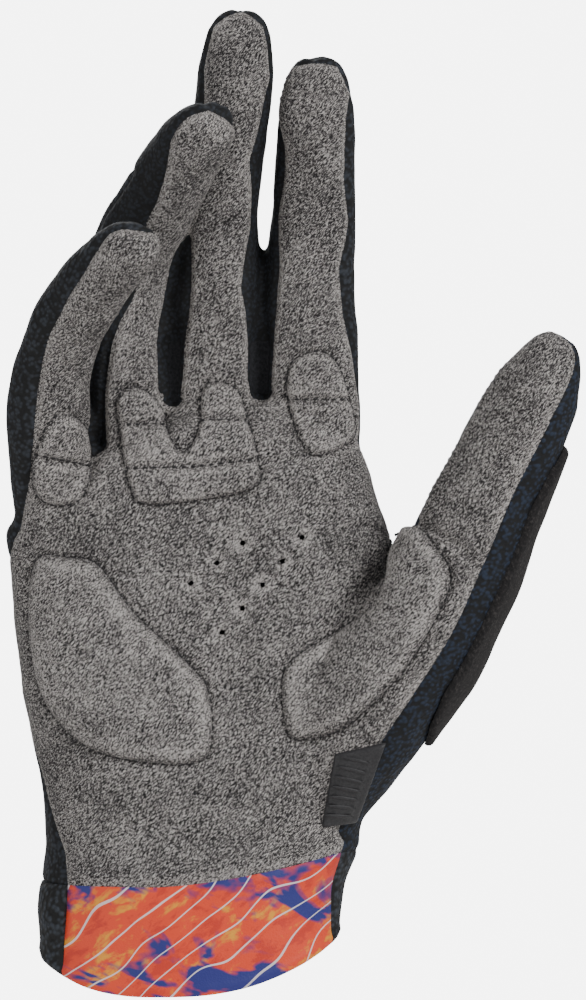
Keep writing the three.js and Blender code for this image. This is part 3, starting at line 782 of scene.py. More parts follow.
@dataclass(frozen=True)
class PrintedTape:
    """Sublimation-printed stretch tape: smooth, slightly slick, its dyes blotched into each other."""

    flame: str = "#ef4a28"
    ember: str = "#d63a26"
    amber: str = "#f4a32a"
    night: str = "#2a2f80"

    def material(self) -> bpy.types.Material:
        """The cuff's print: blotches of warm and deep colour under fine level curves."""
        p = Pattern("stretch_tape_printed")
        place = p.turned((0, -18, 0), (19, 30, 10.5))
        blots = p.noise(place, 3.5, 0.6, 0.5)
        glow = p.noise(p.turned((0, 35, 0), (9, 30, 4.5)), 4.0, 0.65, 0.3)
        warm = ramp(p.tree, glow, [
            (0.4, self.ember), (0.48, self.flame), (0.56, self.flame), (0.66, self.amber)])
        deep = ramp(p.tree, blots, [(0.5, "#000000"), (0.56, "#ffffff")])
        base = blend(p.tree, deep, warm, colour(self.night))
        across = add_node(p.tree, "ShaderNodeSeparateXYZ", inputs={0: p.turned((0, -52, 0), (6.2, 6.2, 6.2))})
        sway = p.noise(p.turned((0, 8, 0), (24, 60, 24)), 1.0, 0.4)
        bands = maths(p.tree, "FRACT", maths(p.tree, "ADD", across.outputs[0], maths(
            p.tree, "MULTIPLY", sway, 3.4)))
        line = maths(p.tree, "LESS_THAN", maths(p.tree, "ABSOLUTE", maths(
            p.tree, "SUBTRACT", bands, 0.5)), 0.033)
        base = blend(p.tree, maths(p.tree, "MULTIPLY", line, 0.85), base, colour("#f3e9ea"))
        weave = p.cells(p.turned((0, 45, 0), (0.45, 0.45, 0.45)))
        return p.finish(base, 0.55, p.bump(weave, 0.05), 1.5, Sheen_Weight=0.05)


@dataclass(frozen=True)
class Rubber:
    """Moulded silicone rubber: matt, soft highlights, dust in its grain."""

    def material(self) -> bpy.types.Material:
        """The rubber of the tab."""
        p = Pattern("silicone_moulded")
        grain = p.noise(p.turned((0, 0, 0), (0.5, 0.5, 0.5)), 3.0, 0.6)
        base = ramp(p.tree, grain, [(0.3, "#29292b"), (0.7, "#3c3b3d")])
        return p.finish(base, 0.48, p.bump(grain, 0.06), 1.41)


@dataclass(frozen=True)
class Thread:
    """Bonded nylon thread: smooth and a little glossy."""

    name: str
    shade: str

    def material(self) -> bpy.types.Material:
        """The thread of a row of stitches."""
        p = Pattern(self.name)
        ply = p.noise(p.turned((0, 40, 0), (0.25, 0.25, 0.25)), 1.0)
        base = blend(p.tree, ply, colour("#08080a"), colour(self.shade))
        return p.finish(base, 0.5, p.bump(ply, 0.05), 1.53)


@dataclass(frozen=True)
class Lining:
    """Brushed tricot on the inside of the panels: plain, dark and soft."""

    def material(self) -> bpy.types.Material:
        """The inside of the cloth."""
        p = Pattern("tricot_brushed_lining")
        nap = p.noise(p.turned((0, 0, 0), (0.7, 0.7, 0.7)), 3.0, 0.6)
        base = ramp(p.tree, nap, [(0.35, "#17181b"), (0.65, "#2c2d31")])
        return p.finish(base, 0.95, p.bump(nap, 0.15), 1.45)


class Finish(Enum):
    """Finishes of the glove's pieces."""

    SUEDE = Microsuede()
    BACK_KNIT = Knit("warp_knit_black", "#06070a", "#2c3139", (1.15, 1.15, 0.95), 0.45)
    SIDE_KNIT = Knit("stretch_knit_black", "#040507", "#1c2129", (0.95, 0.95, 0.8), 0.3)
    THUMB_KNIT = Knit("pebble_knit_navy", "#04060b", "#1e2a3d", (1.05, 1.05, 0.85), 0.4)
    CUFF_KNIT = Knit("elastic_mesh_black", "#030405", "#333942", (1.4, 1.4, 1.15), 0.6, 0.7)
    PILE = NappedTerry()
    PRINT = PrintedTape()
    RUBBER = Rubber()
    DARK_THREAD = Thread("nylon_thread_black", "#1a191c")
    GREY_THREAD = Thread("nylon_thread_grey", "#a39d98")
    LINING = Lining()


class Wardrobe:
    """Makes each finish once."""

    def __init__(self) -> None:
        """Starts with nothing made."""
        self.made: dict[Finish, bpy.types.Material] = {}

    def take(self, finish: Finish) -> bpy.types.Material:
        """The material of a finish."""
        if finish not in self.made:
            self.made[finish] = finish.value.material()
        return self.made[finish]


# Where the leather ends on each finger, in mm as seen from the front

@dataclass(frozen=True)
class FaceRow:
    """The leather of a finger at one height, between its left and its right seam."""

    up: float
    left: float
    right: float


@dataclass(frozen=True)
class Crotch:
    """The dark gap between two fingers, in mm.

    Attributes:
        left: the finger on its left.
        right: the finger on its right.
        middle: how far across its lowest point lies.
        bottom: how far up its lowest point lies.
        radius: of its round lower end.
    """

    left: str
    right: str
    middle: float
    bottom: float
    radius: float


FACES = {
    "index": (
        FaceRow(96, 12, 50), FaceRow(134, 19, 41), FaceRow(145, 19.5, 39.5), FaceRow(157, 20.5, 36.5),
        FaceRow(167, 21, 36), FaceRow(174, 20.5, 37.5), FaceRow(179, 20.5, 38), FaceRow(188, 22, 37),
        FaceRow(196, 22.5, 37), FaceRow(203, 21, 37.5), FaceRow(209, 20.5, 38.5), FaceRow(213, 22, 37),
        FaceRow(216, 24, 35.5), FaceRow(217, 28, 32)),
    "middle": (
        FaceRow(96, -6, 22), FaceRow(134, -3, 15.5), FaceRow(141, -2, 14), FaceRow(149, -1.5, 14),
        FaceRow(157, -0.5, 13.5), FaceRow(163, 0, 12.5), FaceRow(169, 0, 13.5), FaceRow(177, 0, 15),
        FaceRow(187, 0, 15), FaceRow(193, 0.5, 14.5), FaceRow(200, 1, 16.5), FaceRow(207, 2, 18),
        FaceRow(213, 2.5, 19.5), FaceRow(221, 4.5, 19), FaceRow(225.5, 5.5, 18), FaceRow(228, 8.5, 15),
        FaceRow(229, 11, 13)),
    "ring": (
        FaceRow(96, -27, 0), FaceRow(127, -20.5, -4), FaceRow(139, -20.5, -6.5), FaceRow(145, -19.5, -7),
        FaceRow(150, -18.5, -7.5), FaceRow(155, -16.5, -6.5), FaceRow(160, -13.5, -4),
        FaceRow(165, -11.5, -2.5), FaceRow(171, -10.5, -0.5), FaceRow(178, -10.5, 1),
        FaceRow(183, -8, 3), FaceRow(188, -6.5, 6), FaceRow(193, -5.5, 8.5), FaceRow(198, -4.5, 11),
        FaceRow(201, -3, 11), FaceRow(203.5, -1, 8.5), FaceRow(205.5, 1, 5), FaceRow(206.5, 3, 3.5)),
    "little": (
        FaceRow(96, -60, -15), FaceRow(103, -42, -18), FaceRow(114, -39, -20), FaceRow(126, -37.5, -23),
        FaceRow(138, -36.5, -22), FaceRow(145, -35.5, -21.5), FaceRow(151, -34, -20.5),
        FaceRow(156, -31.5, -17.5), FaceRow(160, -29.5, -13), FaceRow(164, -27, -8.5),
        FaceRow(167.5, -25, -7), FaceRow(171, -23, -6), FaceRow(174, -21, -7), FaceRow(177, -18.5, -9.5),
        FaceRow(178.5, -17, -12), FaceRow(179, -15, -13.5)),
}
CROTCHES = (
    Crotch("middle", "index", 17, 136, 2.5),
    Crotch("ring", "middle", -4.3, 134.5, 2.1),
    Crotch("little", "ring", -21.6, 124.8, 1.4),
)


def seam_across(finger: str, side: str, up: Array) -> Array:
    """How far across the left or right seam of a finger's leather lies at a height."""
    rows = FACES[finger]
    return np.interp(up, [row.up for row in rows], [getattr(row, side) for row in rows])


def face_depth(finger: str, across: Array, up: Array) -> Array:
    """How far inside the leather of a finger a place lies, as seen from the front."""
    return np.minimum.reduce([
        across - seam_across(finger, "left", up), seam_across(finger, "right", up) - across,
        FACES[finger][-1].up - up])


def gap_depth(crotch: Crotch, across: Array, up: Array) -> Array:
    """How far inside the gap between two fingers a place lies, as seen from the front."""
    centre = crotch.bottom + crotch.radius
    between = np.minimum(across - seam_across(crotch.left, "right", np.maximum(up, centre)),
                         seam_across(crotch.right, "left", np.maximum(up, centre)) - across)
    end = crotch.radius - np.hypot(across - crotch.middle, up - centre)
    return np.where(up > centre, between, end)


def seen(points: Array) -> tuple[Array, Array]:
    """Where points appear from the front, in mm on the palm's plane."""
    share = (VIEW_DISTANCE - VIEW_PLANE) / (VIEW_DISTANCE + points[:, 1])
    across = VIEW_AIM[0] + (points[:, 0] - VIEW_AIM[0]) * share
    return across, VIEW_AIM[1] + (points[:, 2] - VIEW_AIM[1]) * share


# The form that the panels are sewn over

@dataclass
class HandForm:
    """The outer surface of the whole glove, before it is parted into panels.

    Attributes:
        voxel: size of the even mesh, in mm.
        even_weight: how far a round of the first smoothing moves a point.
        even_hold: how much of that is given back.
        crotch_weight: how far a round moves a point between two digits.
        crotch_reach: how far from them that fades, in mm.
        blend_reach: over how many mm the seams of two digits mix.
        leather_limit: the most that a finger's leather counts, in mm.
        gap_limit: the most that a gap counts, in mm.
        gap_margin: how much wider a strip is cut than its gap, in mm.
    """

    voxel: float = 0.78
    even_rounds: int = 8
    even_weight: float = 0.5
    even_hold: float = 1.02
    crotch_rounds: int = 26
    crotch_weight: float = 0.55
    crotch_reach: float = 3.0
    blend_reach: float = 1.6
    leather_limit: float = 4.0
    gap_limit: float = 6.0
    gap_margin: float = 0.4

    def shell(self) -> Cloth:
        """One even mesh round palm and digits."""
        points: list[Array] = []
        faces: list[tuple[int, ...]] = []
        base = 0
        for rings in (Palm().rings(), *(digit.rings() for digit in (*DIGITS, *WEBS))):
            some, more = lofted(rings)
            points.append(some)
            faces.extend(tuple(v + base for v in f) for f in more)
            base += len(some)
        raw = new_mesh("hand_form", np.vstack(points), faces)
        even = raw.modifiers.new("even", "REMESH")
        even.mode = "VOXEL"
        even.voxel_size = self.voxel * MM
        mesh = evaluated(raw)
        mesh.calc_loop_triangles()
        co = np.empty(len(mesh.vertices) * 3)
        mesh.vertices.foreach_get("co", co)
        tris = np.empty(len(mesh.loop_triangles) * 3, np.int32)
        mesh.loop_triangles.foreach_get("vertices", tris)
        bpy.data.objects.remove(raw)
        return Cloth(co.reshape(-1, 3) / MM, tris.reshape(-1, 3).astype(int))

    def made(self) -> Cloth:
        """The smoothed surface with the fields that part it."""
        cloth = self.shell()
        cloth.relax(self.even_weight, self.even_rounds, self.even_hold)
        near = np.sort(np.stack([d.local(cloth.points)["outside"] for d in DIGITS]
                                + [Palm().local(cloth.points)["outside"]]), axis=0)[1]
        cloth.relax(self.crotch_weight * bell(np.maximum(near, 0), self.crotch_reach), self.crotch_rounds)
        self.measure(cloth)
        cloth.fields["normal"] = cloth.normals()
        return cloth

    def measure(self, cloth: Cloth) -> None:
        """Adds the fields that say which panel a point belongs to, in mm from the seam."""
        x, y, z = cloth.points.T
        palm = Palm().local(cloth.points)
        digits = [d.local(cloth.points) for d in DIGITS]
        outside = np.stack([d["outside"] for d in digits] + [palm["outside"]])
        weight = np.exp(-(np.maximum(outside - outside.min(0), 0) / self.blend_reach) ** 2)
        weight /= weight.sum(0)
        leather = [d["deep"] - d["seam"] * d["half_depth"] for d in digits] + [palm["front"]]
        across, up = seen(cloth.points)
        for i, finger in enumerate(FINGERS):
            face = face_depth(finger.name, across, up)
            leather[i] = np.minimum(leather[i], np.clip(face, -self.leather_limit, self.leather_limit))
        cloth.fields["leather"] = (weight * np.stack(leather)).sum(0)
        for i, crotch in enumerate(CROTCHES):
            gap = np.clip(gap_depth(crotch, across, up), -self.gap_limit, self.gap_limit)
            cloth.fields[f"gap_{i}"] = gap
            cloth.fields["leather"] = np.minimum(cloth.fields["leather"], -gap)
        for i in range(3):
            parts = [np.full(len(x), -self.leather_limit)] * 5
            parts[i] = FingerSide.field(digits[i], -1)
            parts[i + 1] = FingerSide.field(digits[i + 1], 1)
            parts = parts + [FingerSide.web(FINGERS[i], FINGERS[i + 1], x, y, z)]
            cloth.fields[f"side_{i}"] = np.maximum(
                (weight * np.stack(parts)).sum(0), cloth.fields[f"gap_{i}"] + self.gap_margin)
        cloth.fields["thumb"] = np.maximum(
            ThumbBack.reach - digits[4]["outside"], ThumbBack.edge_field(x, z))
        for key in ("along", "across", "deep", "outside"):
            cloth.fields[f"thumb_{key}"] = digits[4][key]
        cloth.fields["thumb_half_width"] = digits[4]["half_width"]
        cloth.fields["thumb_half_depth"] = digits[4]["half_depth"]
        cloth.fields["cuff"] = z - Cuff.seam_height(x)
        cloth.fields["hem"] = z - Cuff.hem_height(x, y)


@dataclass(frozen=True)
class FingerSide:
    """The strips between two neighbouring fingers: shares of a finger's half sizes, and mm at the turn."""

    back_seam: float = 0.55
    reach: float = 0.2
    web_half_width: float = 6.0
    web_below: float = 8.0
    web_behind: float = 7.0

    @classmethod
    def field(cls, local: dict[str, Array], towards: int) -> Array:
        """How far inside a finger's strip a point lies."""
        return np.minimum(towards * local["across"] - cls.reach * local["half_width"],
                          local["deep"] + cls.back_seam * local["half_depth"])

    @classmethod
    def web(cls, one: Digit, other: Digit, x: Array, y: Array, z: Array) -> Array:
        """The same for the turn between two fingers."""
        middle = (one.root[0] + other.root[0]) / 2 * PALM_WIDTH
        top = Palm().lift(np.array(PALM_SECTIONS[-1].up), np.array(middle))
        return np.minimum.reduce([
            cls.web_half_width - np.abs(x - middle), cls.web_behind - y, z - (top - cls.web_below)])


@dataclass(frozen=True)
class ThumbBack:
    """The knit on the outer side of the thumb and of the hand below it.

    Attributes:
        edge: its seam on the back of the hand, as shares of the palm's width and length.
        above: how far over the seam's upper end it goes, in mm.
        reach: how far off the thumb it goes, in mm.
    """

    edge: tuple[tuple[float, float], ...] = ((0.3, 0.1), (0.33, 0.3), (0.4, 0.42))
    above: float = 4.0
    reach: float = 1.5

    @classmethod
    def edge_field(cls, x: Array, z: Array) -> Array:
        """How far a point lies on the thumb side of the seam on the back of the hand."""
        line = np.interp(z / PALM_LENGTH, [p[1] for p in cls.edge], [p[0] for p in cls.edge]) * PALM_WIDTH
        return np.minimum(x - line, cls.edge[-1][1] * PALM_LENGTH + cls.above - z)


@dataclass(frozen=True)
class Cuff:
    """Heights of the cuff's seam and hem, in mm."""

    height: float = 20.5
    rise: float = 7.4
    rise_power: float = 1.5
    middle: float = -0.1
    hem_front: float = -5.4
    hem_back: float = 2.0
    hem_turn: float = 5.0
    hem_little: float = 3.0
    hem_thumb: float = 7.6
    hem_power: float = 2.6

    @classmethod
    def share(cls, x: Array, end: float) -> Array:
        """How far a point lies from the lowest place of the hem towards a side of the wrist."""
        return np.clip((x / PALM_WIDTH - cls.middle) / (end - cls.middle), 0, 1)

    @classmethod
    def seam_height(cls, x: Array) -> Array:
        """Height of the seam under the palm leather."""
        return cls.height + cls.rise * cls.share(x, PALM_SECTIONS[1].right) ** cls.rise_power

    @classmethod
    def hem_height(cls, x: Array, y: Array) -> Array:
        """Height of the hem."""
        behind = smooth_step(-cls.hem_turn, cls.hem_turn, y)
        low = cls.hem_front + (cls.hem_back - cls.hem_front) * behind
        thumb = cls.share(x, PALM_SECTIONS[1].right) ** cls.hem_power
        little = cls.share(x, PALM_SECTIONS[1].left) ** cls.hem_power
        return low + (cls.hem_thumb - low) * thumb + (cls.hem_little - low) * little


# Shapes of the pieces, laid out from the front as shares of the palm's width and length

@dataclass(frozen=True)
class Cushion:
    """A raised pad: its outline, its height and edge in mm, and the channels stitched across it.

    Attributes:
        fill: how tightly it is filled, 0 to 1; not used.
        front: how far in front of the palm's plane it begins, in mm.
        sunk: how far its edge is pulled under the form, in mm.
        crown: how much higher its middle is, in mm.
        channel_share: depth of a channel, as a share of the height.
        channel_width: of a channel, in mm.
        lining: how far its underside lies under the form, in mm.
    """

    name: str
    outline: tuple[tuple[float, float], ...]
    height: float
    edge: float
    channels: tuple[tuple[tuple[float, float], tuple[float, float]], ...] = ()
    fill: float = 0.7
    front: float = 4.0
    sunk: float = 0.35
    crown: float = 0.35
    channel_share: float = 0.62
    channel_width: float = 0.95
    lining: float = 0.25

    def inside(self, cloth: Cloth) -> Array:
        """How far inside its outline each point lies, as seen from the front."""
        return polygon_depth(rounded(self.outline), cloth.points[:, 0], cloth.points[:, 2])

    def cut(self, leather: Cloth) -> Cloth:
        """Its part of the leather, on the front of the hand alone."""
        def held(cloth: Cloth) -> Array:
            return np.minimum(self.inside(cloth), -self.front - cloth.points[:, 1])
        near = leather.take((held(leather)[leather.faces] > -self.front).any(1))
        return near.part(held(near))[0]

    def build(self, sewing: "Sewing", leather: "PalmLeather") -> Cloth:
        """Sews the pad, crowned and pulled in along its edge and channels.

        Args:
            sewing: what the pieces share.
            leather: the palm leather that it lies on.

        Returns:
            Its outer face.
        """
        cloth = self.cut(leather.cloth)
        depth = np.maximum(self.inside(cloth), 0)
        dome = np.sqrt(1 - (1 - np.clip(depth / self.edge, 0, 1)) ** 2)
        crown = self.crown * smooth_step(self.edge * 0.6, self.edge * 2.4, depth)
        height = -self.sunk + (self.height + self.sunk) * dome + crown + leather.relief(sewing, cloth) * dome
        # Lighter over the pad and on its rounded rim, as rubbed nap; darker along its sewn outline, as
        # painted shade in the groove.
        wear_and_shade = 0.3 * dome - 0.3 * bell(depth, 0.7) + 0.6 * bell(depth - self.edge * 0.45, self.edge * 0.3)
        for channel in self.channels:
            gap = segment_distance(*in_mm(channel), cloth.points[:, 0], cloth.points[:, 2])
            height = height - self.channel_share * self.height * bell(gap, self.channel_width)
            # Darker in each channel, as painted shade; lighter on the ridges beside it, as rubbed nap.
            wear_and_shade = wear_and_shade - 0.3 * bell(gap, 0.6) + 0.3 * bell(gap - 1.6, 0.6)
        made = sewing.sewn(
            f"{self.name}_suede", cloth, height, Finish.SUEDE, self.lining, inner=Finish.SUEDE, wear_and_shade=wear_and_shade)
        sewing.hand_in(made, [self.name])
        return cloth.raised(height)


CUSHIONS = (
    Cushion("pad_index", (
        (0.354, 1.086), (0.401, 1.075), (0.432, 1.038), (0.46, 0.972), (0.455, 0.93), (0.37, 0.904),
        (0.32, 0.918), (0.275, 1.0), (0.284, 1.065)), 1.9, 2.6, (((0.25, 1.002), (0.5, 1.002)),)),
    Cushion("pad_knuckle", (
        (-0.153, 1.023), (-0.206, 1.0), (-0.195, 0.93), (-0.17, 0.855), (-0.13, 0.818), (0.03, 0.825),
        (0.185, 0.848), (0.191, 0.9), (0.16, 0.97), (0.133, 1.017), (0.079, 1.033), (0.034, 1.02),
        (0.026, 0.956), (0.001, 0.918), (-0.027, 0.909), (-0.058, 0.939), (-0.091, 0.996)), 1.9, 2.4, (
            ((-0.23, 0.958), (-0.04, 0.958)), ((0.01, 0.965), (0.19, 0.965)),
            ((-0.22, 0.88), (0.01, 0.883)), ((0.01, 0.883), (0.22, 0.899)))),
    Cushion("pad_little", (
        (-0.352, 0.974), (-0.295, 0.955), (-0.279, 0.888), (-0.301, 0.83), (-0.371, 0.815),
        (-0.43, 0.834), (-0.438, 0.885), (-0.4, 0.95)), 1.9, 2.6, (((-0.48, 0.91), (-0.24, 0.88)),)),
    Cushion("pad_heel", (
        (-0.436, 0.715), (-0.343, 0.724), (-0.256, 0.711), (-0.156, 0.629), (0.004, 0.535), (0.054, 0.489),
        (0.063, 0.409), (0.026, 0.368), (-0.13, 0.368), (-0.29, 0.395), (-0.402, 0.468), (-0.45, 0.582)),
            2.8, 5.5, (), 0.8),
    Cushion("pad_thumb", (
        (0.567, 0.752), (0.631, 0.778), (0.69, 0.741), (0.726, 0.692), (0.684, 0.62), (0.581, 0.519),
        (0.432, 0.43), (0.306, 0.407), (0.268, 0.435), (0.261, 0.519), (0.317, 0.559), (0.488, 0.624),
        (0.547, 0.68)), 2.6, 4.2, (), 0.8),
)
VENT_ROWS = (((0.004, 0.68), (0.147, 0.75), 3), ((0.091, 0.594), (0.315, 0.76), 5))


@dataclass(frozen=True)
class Fold:
    """A crease or a raised fold of the palm leather: its path from the front, height and width, in mm."""

    path: tuple[tuple[float, float], ...]
    height: float
    width: float


FOLDS = (
    Fold(((53.0, 107.6), (56.4, 105.8), (60.0, 103.6), (63.8, 101.2), (66.4, 98.4), (67.6, 95.6)), -1.0, 1.0),
    Fold(((52.6, 105.0), (56.0, 103.4), (59.2, 100.9), (62.0, 97.6), (63.4, 93.6)), 0.9, 1.7),
    Fold(((36.6, 105.2), (40.2, 105.9), (43.8, 105.7), (46.4, 104.3)), -0.6, 0.8),
    Fold(((37.0, 107.4), (40.8, 108.2), (44.0, 107.8)), 0.35, 1.4),
)


class Swell:
    """Slow, uneven swelling of cloth, the same each run."""

    def __init__(self, seed: int, length: float, waves: int = 14) -> None:
        """Draws the waves."""
        draw = np.random.default_rng(seed)
        ways = unit(draw.normal(size=(waves, 3)))
        self.ways = ways * 2 * np.pi / (length * draw.uniform(0.7, 1.8, (waves, 1)))
        self.starts = draw.uniform(0, 2 * np.pi, waves)

    def at(self, points: Array) -> Array:
        """Height at points, mostly between -1 and 1."""
        return np.sin(points @ self.ways.T + self.starts).sum(1) / math.sqrt(len(self.starts))


def in_mm(points: Sequence[Sequence[float]]) -> list[tuple[float, float]]:
    """Shares of the palm's width and length as mm."""
    return [(across * PALM_WIDTH, up * PALM_LENGTH) for across, up in points]


class Draped:
    """Lays paths drawn from the front onto a surface."""

    def __init__(self, cloth: Cloth) -> None:
        """Sorts the points that face the front."""
        self.cloth = cloth
        self.facing = np.flatnonzero(cloth.fields["normal"][:, 1] < 0.05)
        self.tree = KDTree(len(self.facing))
        for i, at in enumerate(cloth.points[self.facing]):
            self.tree.insert((at[0], 0.0, at[2]), i)
        self.tree.balance()

    def line(self, path: Sequence[Sequence[float]]) -> tuple[Array, Array]:
        """Points of the path on the surface, and the surface's directions there."""
        points, ways = [], []
        for x, z in path:
            near = self.tree.find_n((x, 0.0, z), 4)
            index = self.facing[[n[1] for n in near]]
            weight = np.array([1 / (n[2] + 0.05) for n in near])
            weight /= weight.sum()
            depth = (self.cloth.points[index, 1] * weight).sum()
            points.append((x, depth, z))
            ways.append((self.cloth.fields["normal"][index] * weight[:, None]).sum(0))
        return np.array(points), unit(np.array(ways))


@dataclass(frozen=True)
class Stitching:
    """Rows of small rounded pieces, such as stitches, along lines on a surface. Sizes in mm."""

    name: str
    pitch: float
    length: float
    width: float
    height: float

    def tree(self, material: bpy.types.Material) -> bpy.types.NodeTree:
        """Geometry Nodes that set one stitch at each pitch, along the line and flat on the surface."""
        made = bpy.data.node_groups.new(f"{self.name}_rows", "GeometryNodeTree")
        made.interface.new_socket("Geometry", in_out="INPUT", socket_type="NodeSocketGeometry")
        for size in ("Pitch", "Length", "Width", "Height"):
            made.interface.new_socket(size, in_out="INPUT", socket_type="NodeSocketFloat")
        made.interface.new_socket("Geometry", in_out="OUTPUT", socket_type="NodeSocketGeometry")
        given = add_node(made, "NodeGroupInput").outputs
        curve = add_node(made, "GeometryNodeMeshToCurve", inputs={"Mesh": given["Geometry"]})
        even = add_node(made, "GeometryNodeResampleCurve", {"mode": "LENGTH"}, {
            "Curve": curve.outputs[0], "Length": given["Pitch"]})
        out = add_node(made, "GeometryNodeInputNamedAttribute", {"data_type": "FLOAT_VECTOR"}, {
            "Name": "out"})
        along = add_node(made, "GeometryNodeInputTangent")
        turn = add_node(made, "FunctionNodeAxesToRotation", {"primary_axis": "Z", "secondary_axis": "X"}, {
            0: out.outputs[0], 1: along.outputs[0]})
        size = add_node(made, "ShaderNodeCombineXYZ", inputs={
            0: given["Length"], 1: given["Width"], 2: given["Height"]})
        ball = add_node(made, "GeometryNodeMeshUVSphere", inputs={"Segments": 8, "Rings": 5, "Radius": 0.5})
        set_out = add_node(made, "GeometryNodeInstanceOnPoints", inputs={
            "Points": even.outputs[0], "Instance": ball.outputs[0], "Rotation": turn.outputs[0],
            "Scale": size.outputs[0]})
        real = add_node(made, "GeometryNodeRealizeInstances", inputs={0: set_out.outputs[0]})
        smooth = add_node(made, "GeometryNodeSetShadeSmooth", inputs={0: real.outputs[0]})
        dressed = add_node(made, "GeometryNodeSetMaterial", inputs={
            "Geometry": smooth.outputs[0], "Material": material})
        add_node(made, "NodeGroupOutput", inputs={0: dressed.outputs[0]})
        return made

    def lay(self, lines: Iterable[tuple[Array, Array]], material: bpy.types.Material) -> bpy.types.Object:
        """Sets the stitches.

        Args:
            lines: points and surface directions of each row.
            material: of the thread.

        Returns:
            The stitches as one mesh object.
        """
        points: list[Array] = []
        ways: list[Array] = []
        links: list[tuple[int, int]] = []
        base = 0
        for line, out in lines:
            points.append(line)
            ways.append(out)
            links.extend((base + i, base + i + 1) for i in range(len(line) - 1))
            base += len(line)
        mesh = bpy.data.meshes.new(self.name)
        mesh.from_pydata((np.vstack(points) * MM).tolist(), links, [])
        layer = mesh.attributes.new("out", "FLOAT_VECTOR", "POINT")
        layer.data.foreach_set("vector", np.vstack(ways).astype(np.float32).ravel())
        rows = bpy.data.objects.new(self.name, mesh)
        bpy.context.scene.collection.objects.link(rows)
        tree = self.tree(material)
        modifier = rows.modifiers.new("rows", "NODES")
        modifier.node_group = tree
        for item in tree.interface.items_tree:
            if item.in_out == "INPUT" and item.name in ("Pitch", "Length", "Width", "Height"):
                modifier[item.identifier] = getattr(self, item.name.lower()) * MM
        return bake(rows)


# What the pieces share

@dataclass(frozen=True)
class Sewing:
    """The form that pieces are sewn over, their finishes, and the slack of used cloth.

    Attributes:
        wardrobe: the finishes.
        form: outer surface of the whole glove.
        wall: thickness of the cloth, in mm.
        seam_width: how far from a seam the cloth is pulled in, in mm.
        sharp_from: angle from which an edge stays sharp, in degrees.
        swell: slow swelling of the cloth.
        ripple: its fine ripples.
        ripple_share: height of the ripples as a share of the swelling's.
    """

    wardrobe: Wardrobe
    form: Cloth
    wall: float = 1.5
    seam_width: float = 0.9
    sharp_from: float = 60.0
    swell: Swell = Swell(7, 16.0)
    ripple: Swell = Swell(21, 5.0)
    ripple_share: float = 0.25

    def sewn(self, name: str, cloth: Cloth, height: Array, finish: Finish, depth: float | Array,
             inner: Finish = Finish.LINING, wear_and_shade: Array | None = None) -> bpy.types.Object:
        """A closed piece of cloth: its outer face raised by height, its inner face depth below the form.

        Args:
            name: the piece's name.
            cloth: its part of the form.
            height: how far each point of the outer face stands off the form, in mm.
            finish: of the outer face and the cut edge.
            depth: how far the inner face lies under the form, in mm.
            inner: finish of the inner face.
            wear_and_shade: per point, how much lighter the nap is where rubbed, or darker where shade is
                painted into grooves and channels.

        Returns:
            The object.
        """
        out = cloth.fields["normal"]
        count = len(cloth.points)
        top = cloth.points + out * height[:, None]
        bottom = cloth.points - out * np.broadcast_to(depth, (count,))[:, None]
        ends = np.concatenate([cloth.faces[:, [0, 1]], cloth.faces[:, [1, 2]], cloth.faces[:, [2, 0]]])
        key = np.sort(ends, axis=1)
        _, index, copies = np.unique(key, axis=0, return_inverse=True, return_counts=True)
        open_ends = ends[copies[index.reshape(-1)] == 1]
        a, b = open_ends.T
        wall = np.concatenate([np.stack([b, a, a + count], 1), np.stack([b, a + count, b + count], 1)])
        faces = np.concatenate([cloth.faces, cloth.faces[:, ::-1] + count, wall])
        mesh = bpy.data.meshes.new(name)
        mesh.vertices.add(2 * count)
        mesh.vertices.foreach_set("co", (np.concatenate([top, bottom]) * MM).astype(np.float32).ravel())
        mesh.loops.add(faces.size)
        mesh.loops.foreach_set("vertex_index", faces.astype(np.int32).ravel())
        mesh.polygons.add(len(faces))
        mesh.polygons.foreach_set("loop_start", np.arange(0, faces.size, 3, dtype=np.int32))
        mesh.polygons.foreach_set("use_smooth", np.ones(len(faces), bool))
        mesh.materials.append(self.wardrobe.take(finish))
        mesh.materials.append(self.wardrobe.take(inner))
        lining = np.zeros(len(faces), np.int32)
        lining[len(cloth.faces):2 * len(cloth.faces)] = 1
        mesh.polygons.foreach_set("material_index", lining)
        # Per point: lighter where the nap is rubbed, darker where shade is painted into grooves and channels.
        layer = mesh.attributes.new("wear_and_shade", "FLOAT", "POINT")
        values = np.zeros(2 * count, np.float32)
        if wear_and_shade is not None:
            values[:count] = wear_and_shade
        layer.data.foreach_set("value", values)
        mesh.update(calc_edges=True)
        mesh.validate()
        mesh.set_sharp_from_angle(angle=math.radians(self.sharp_from))
        made = bpy.data.objects.new(name, mesh)
        bpy.context.scene.collection.objects.link(made)
        return made

    def hand_in(self, obj: bpy.types.Object, nodes: Sequence[str]) -> None:
        """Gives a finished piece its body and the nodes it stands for."""
        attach(obj, "root")
        if nodes:
            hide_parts(*nodes)
        named = ", ".join(nodes) or "no node"
        log.info("%s: %d faces, stands for %s", obj.name, len(obj.data.polygons), named)

    def slack(self, points: Array, amount: float) -> Array:
        """Slow swelling and fine ripples of used cloth, in mm."""
        return amount * self.swell.at(points) + self.ripple_share * amount * self.ripple.at(points)

    def seam(self, cloth: Cloth, depth: float, lip: float) -> tuple[Array, Array]:
        """Height near the sewn border: pulled in by depth at the seam, level at lip beyond it."""
        gap = nearest(cloth.points, cloth.points[cloth.rim()])
        return lip - (depth + lip) * bell(gap, self.seam_width), gap


# Panels

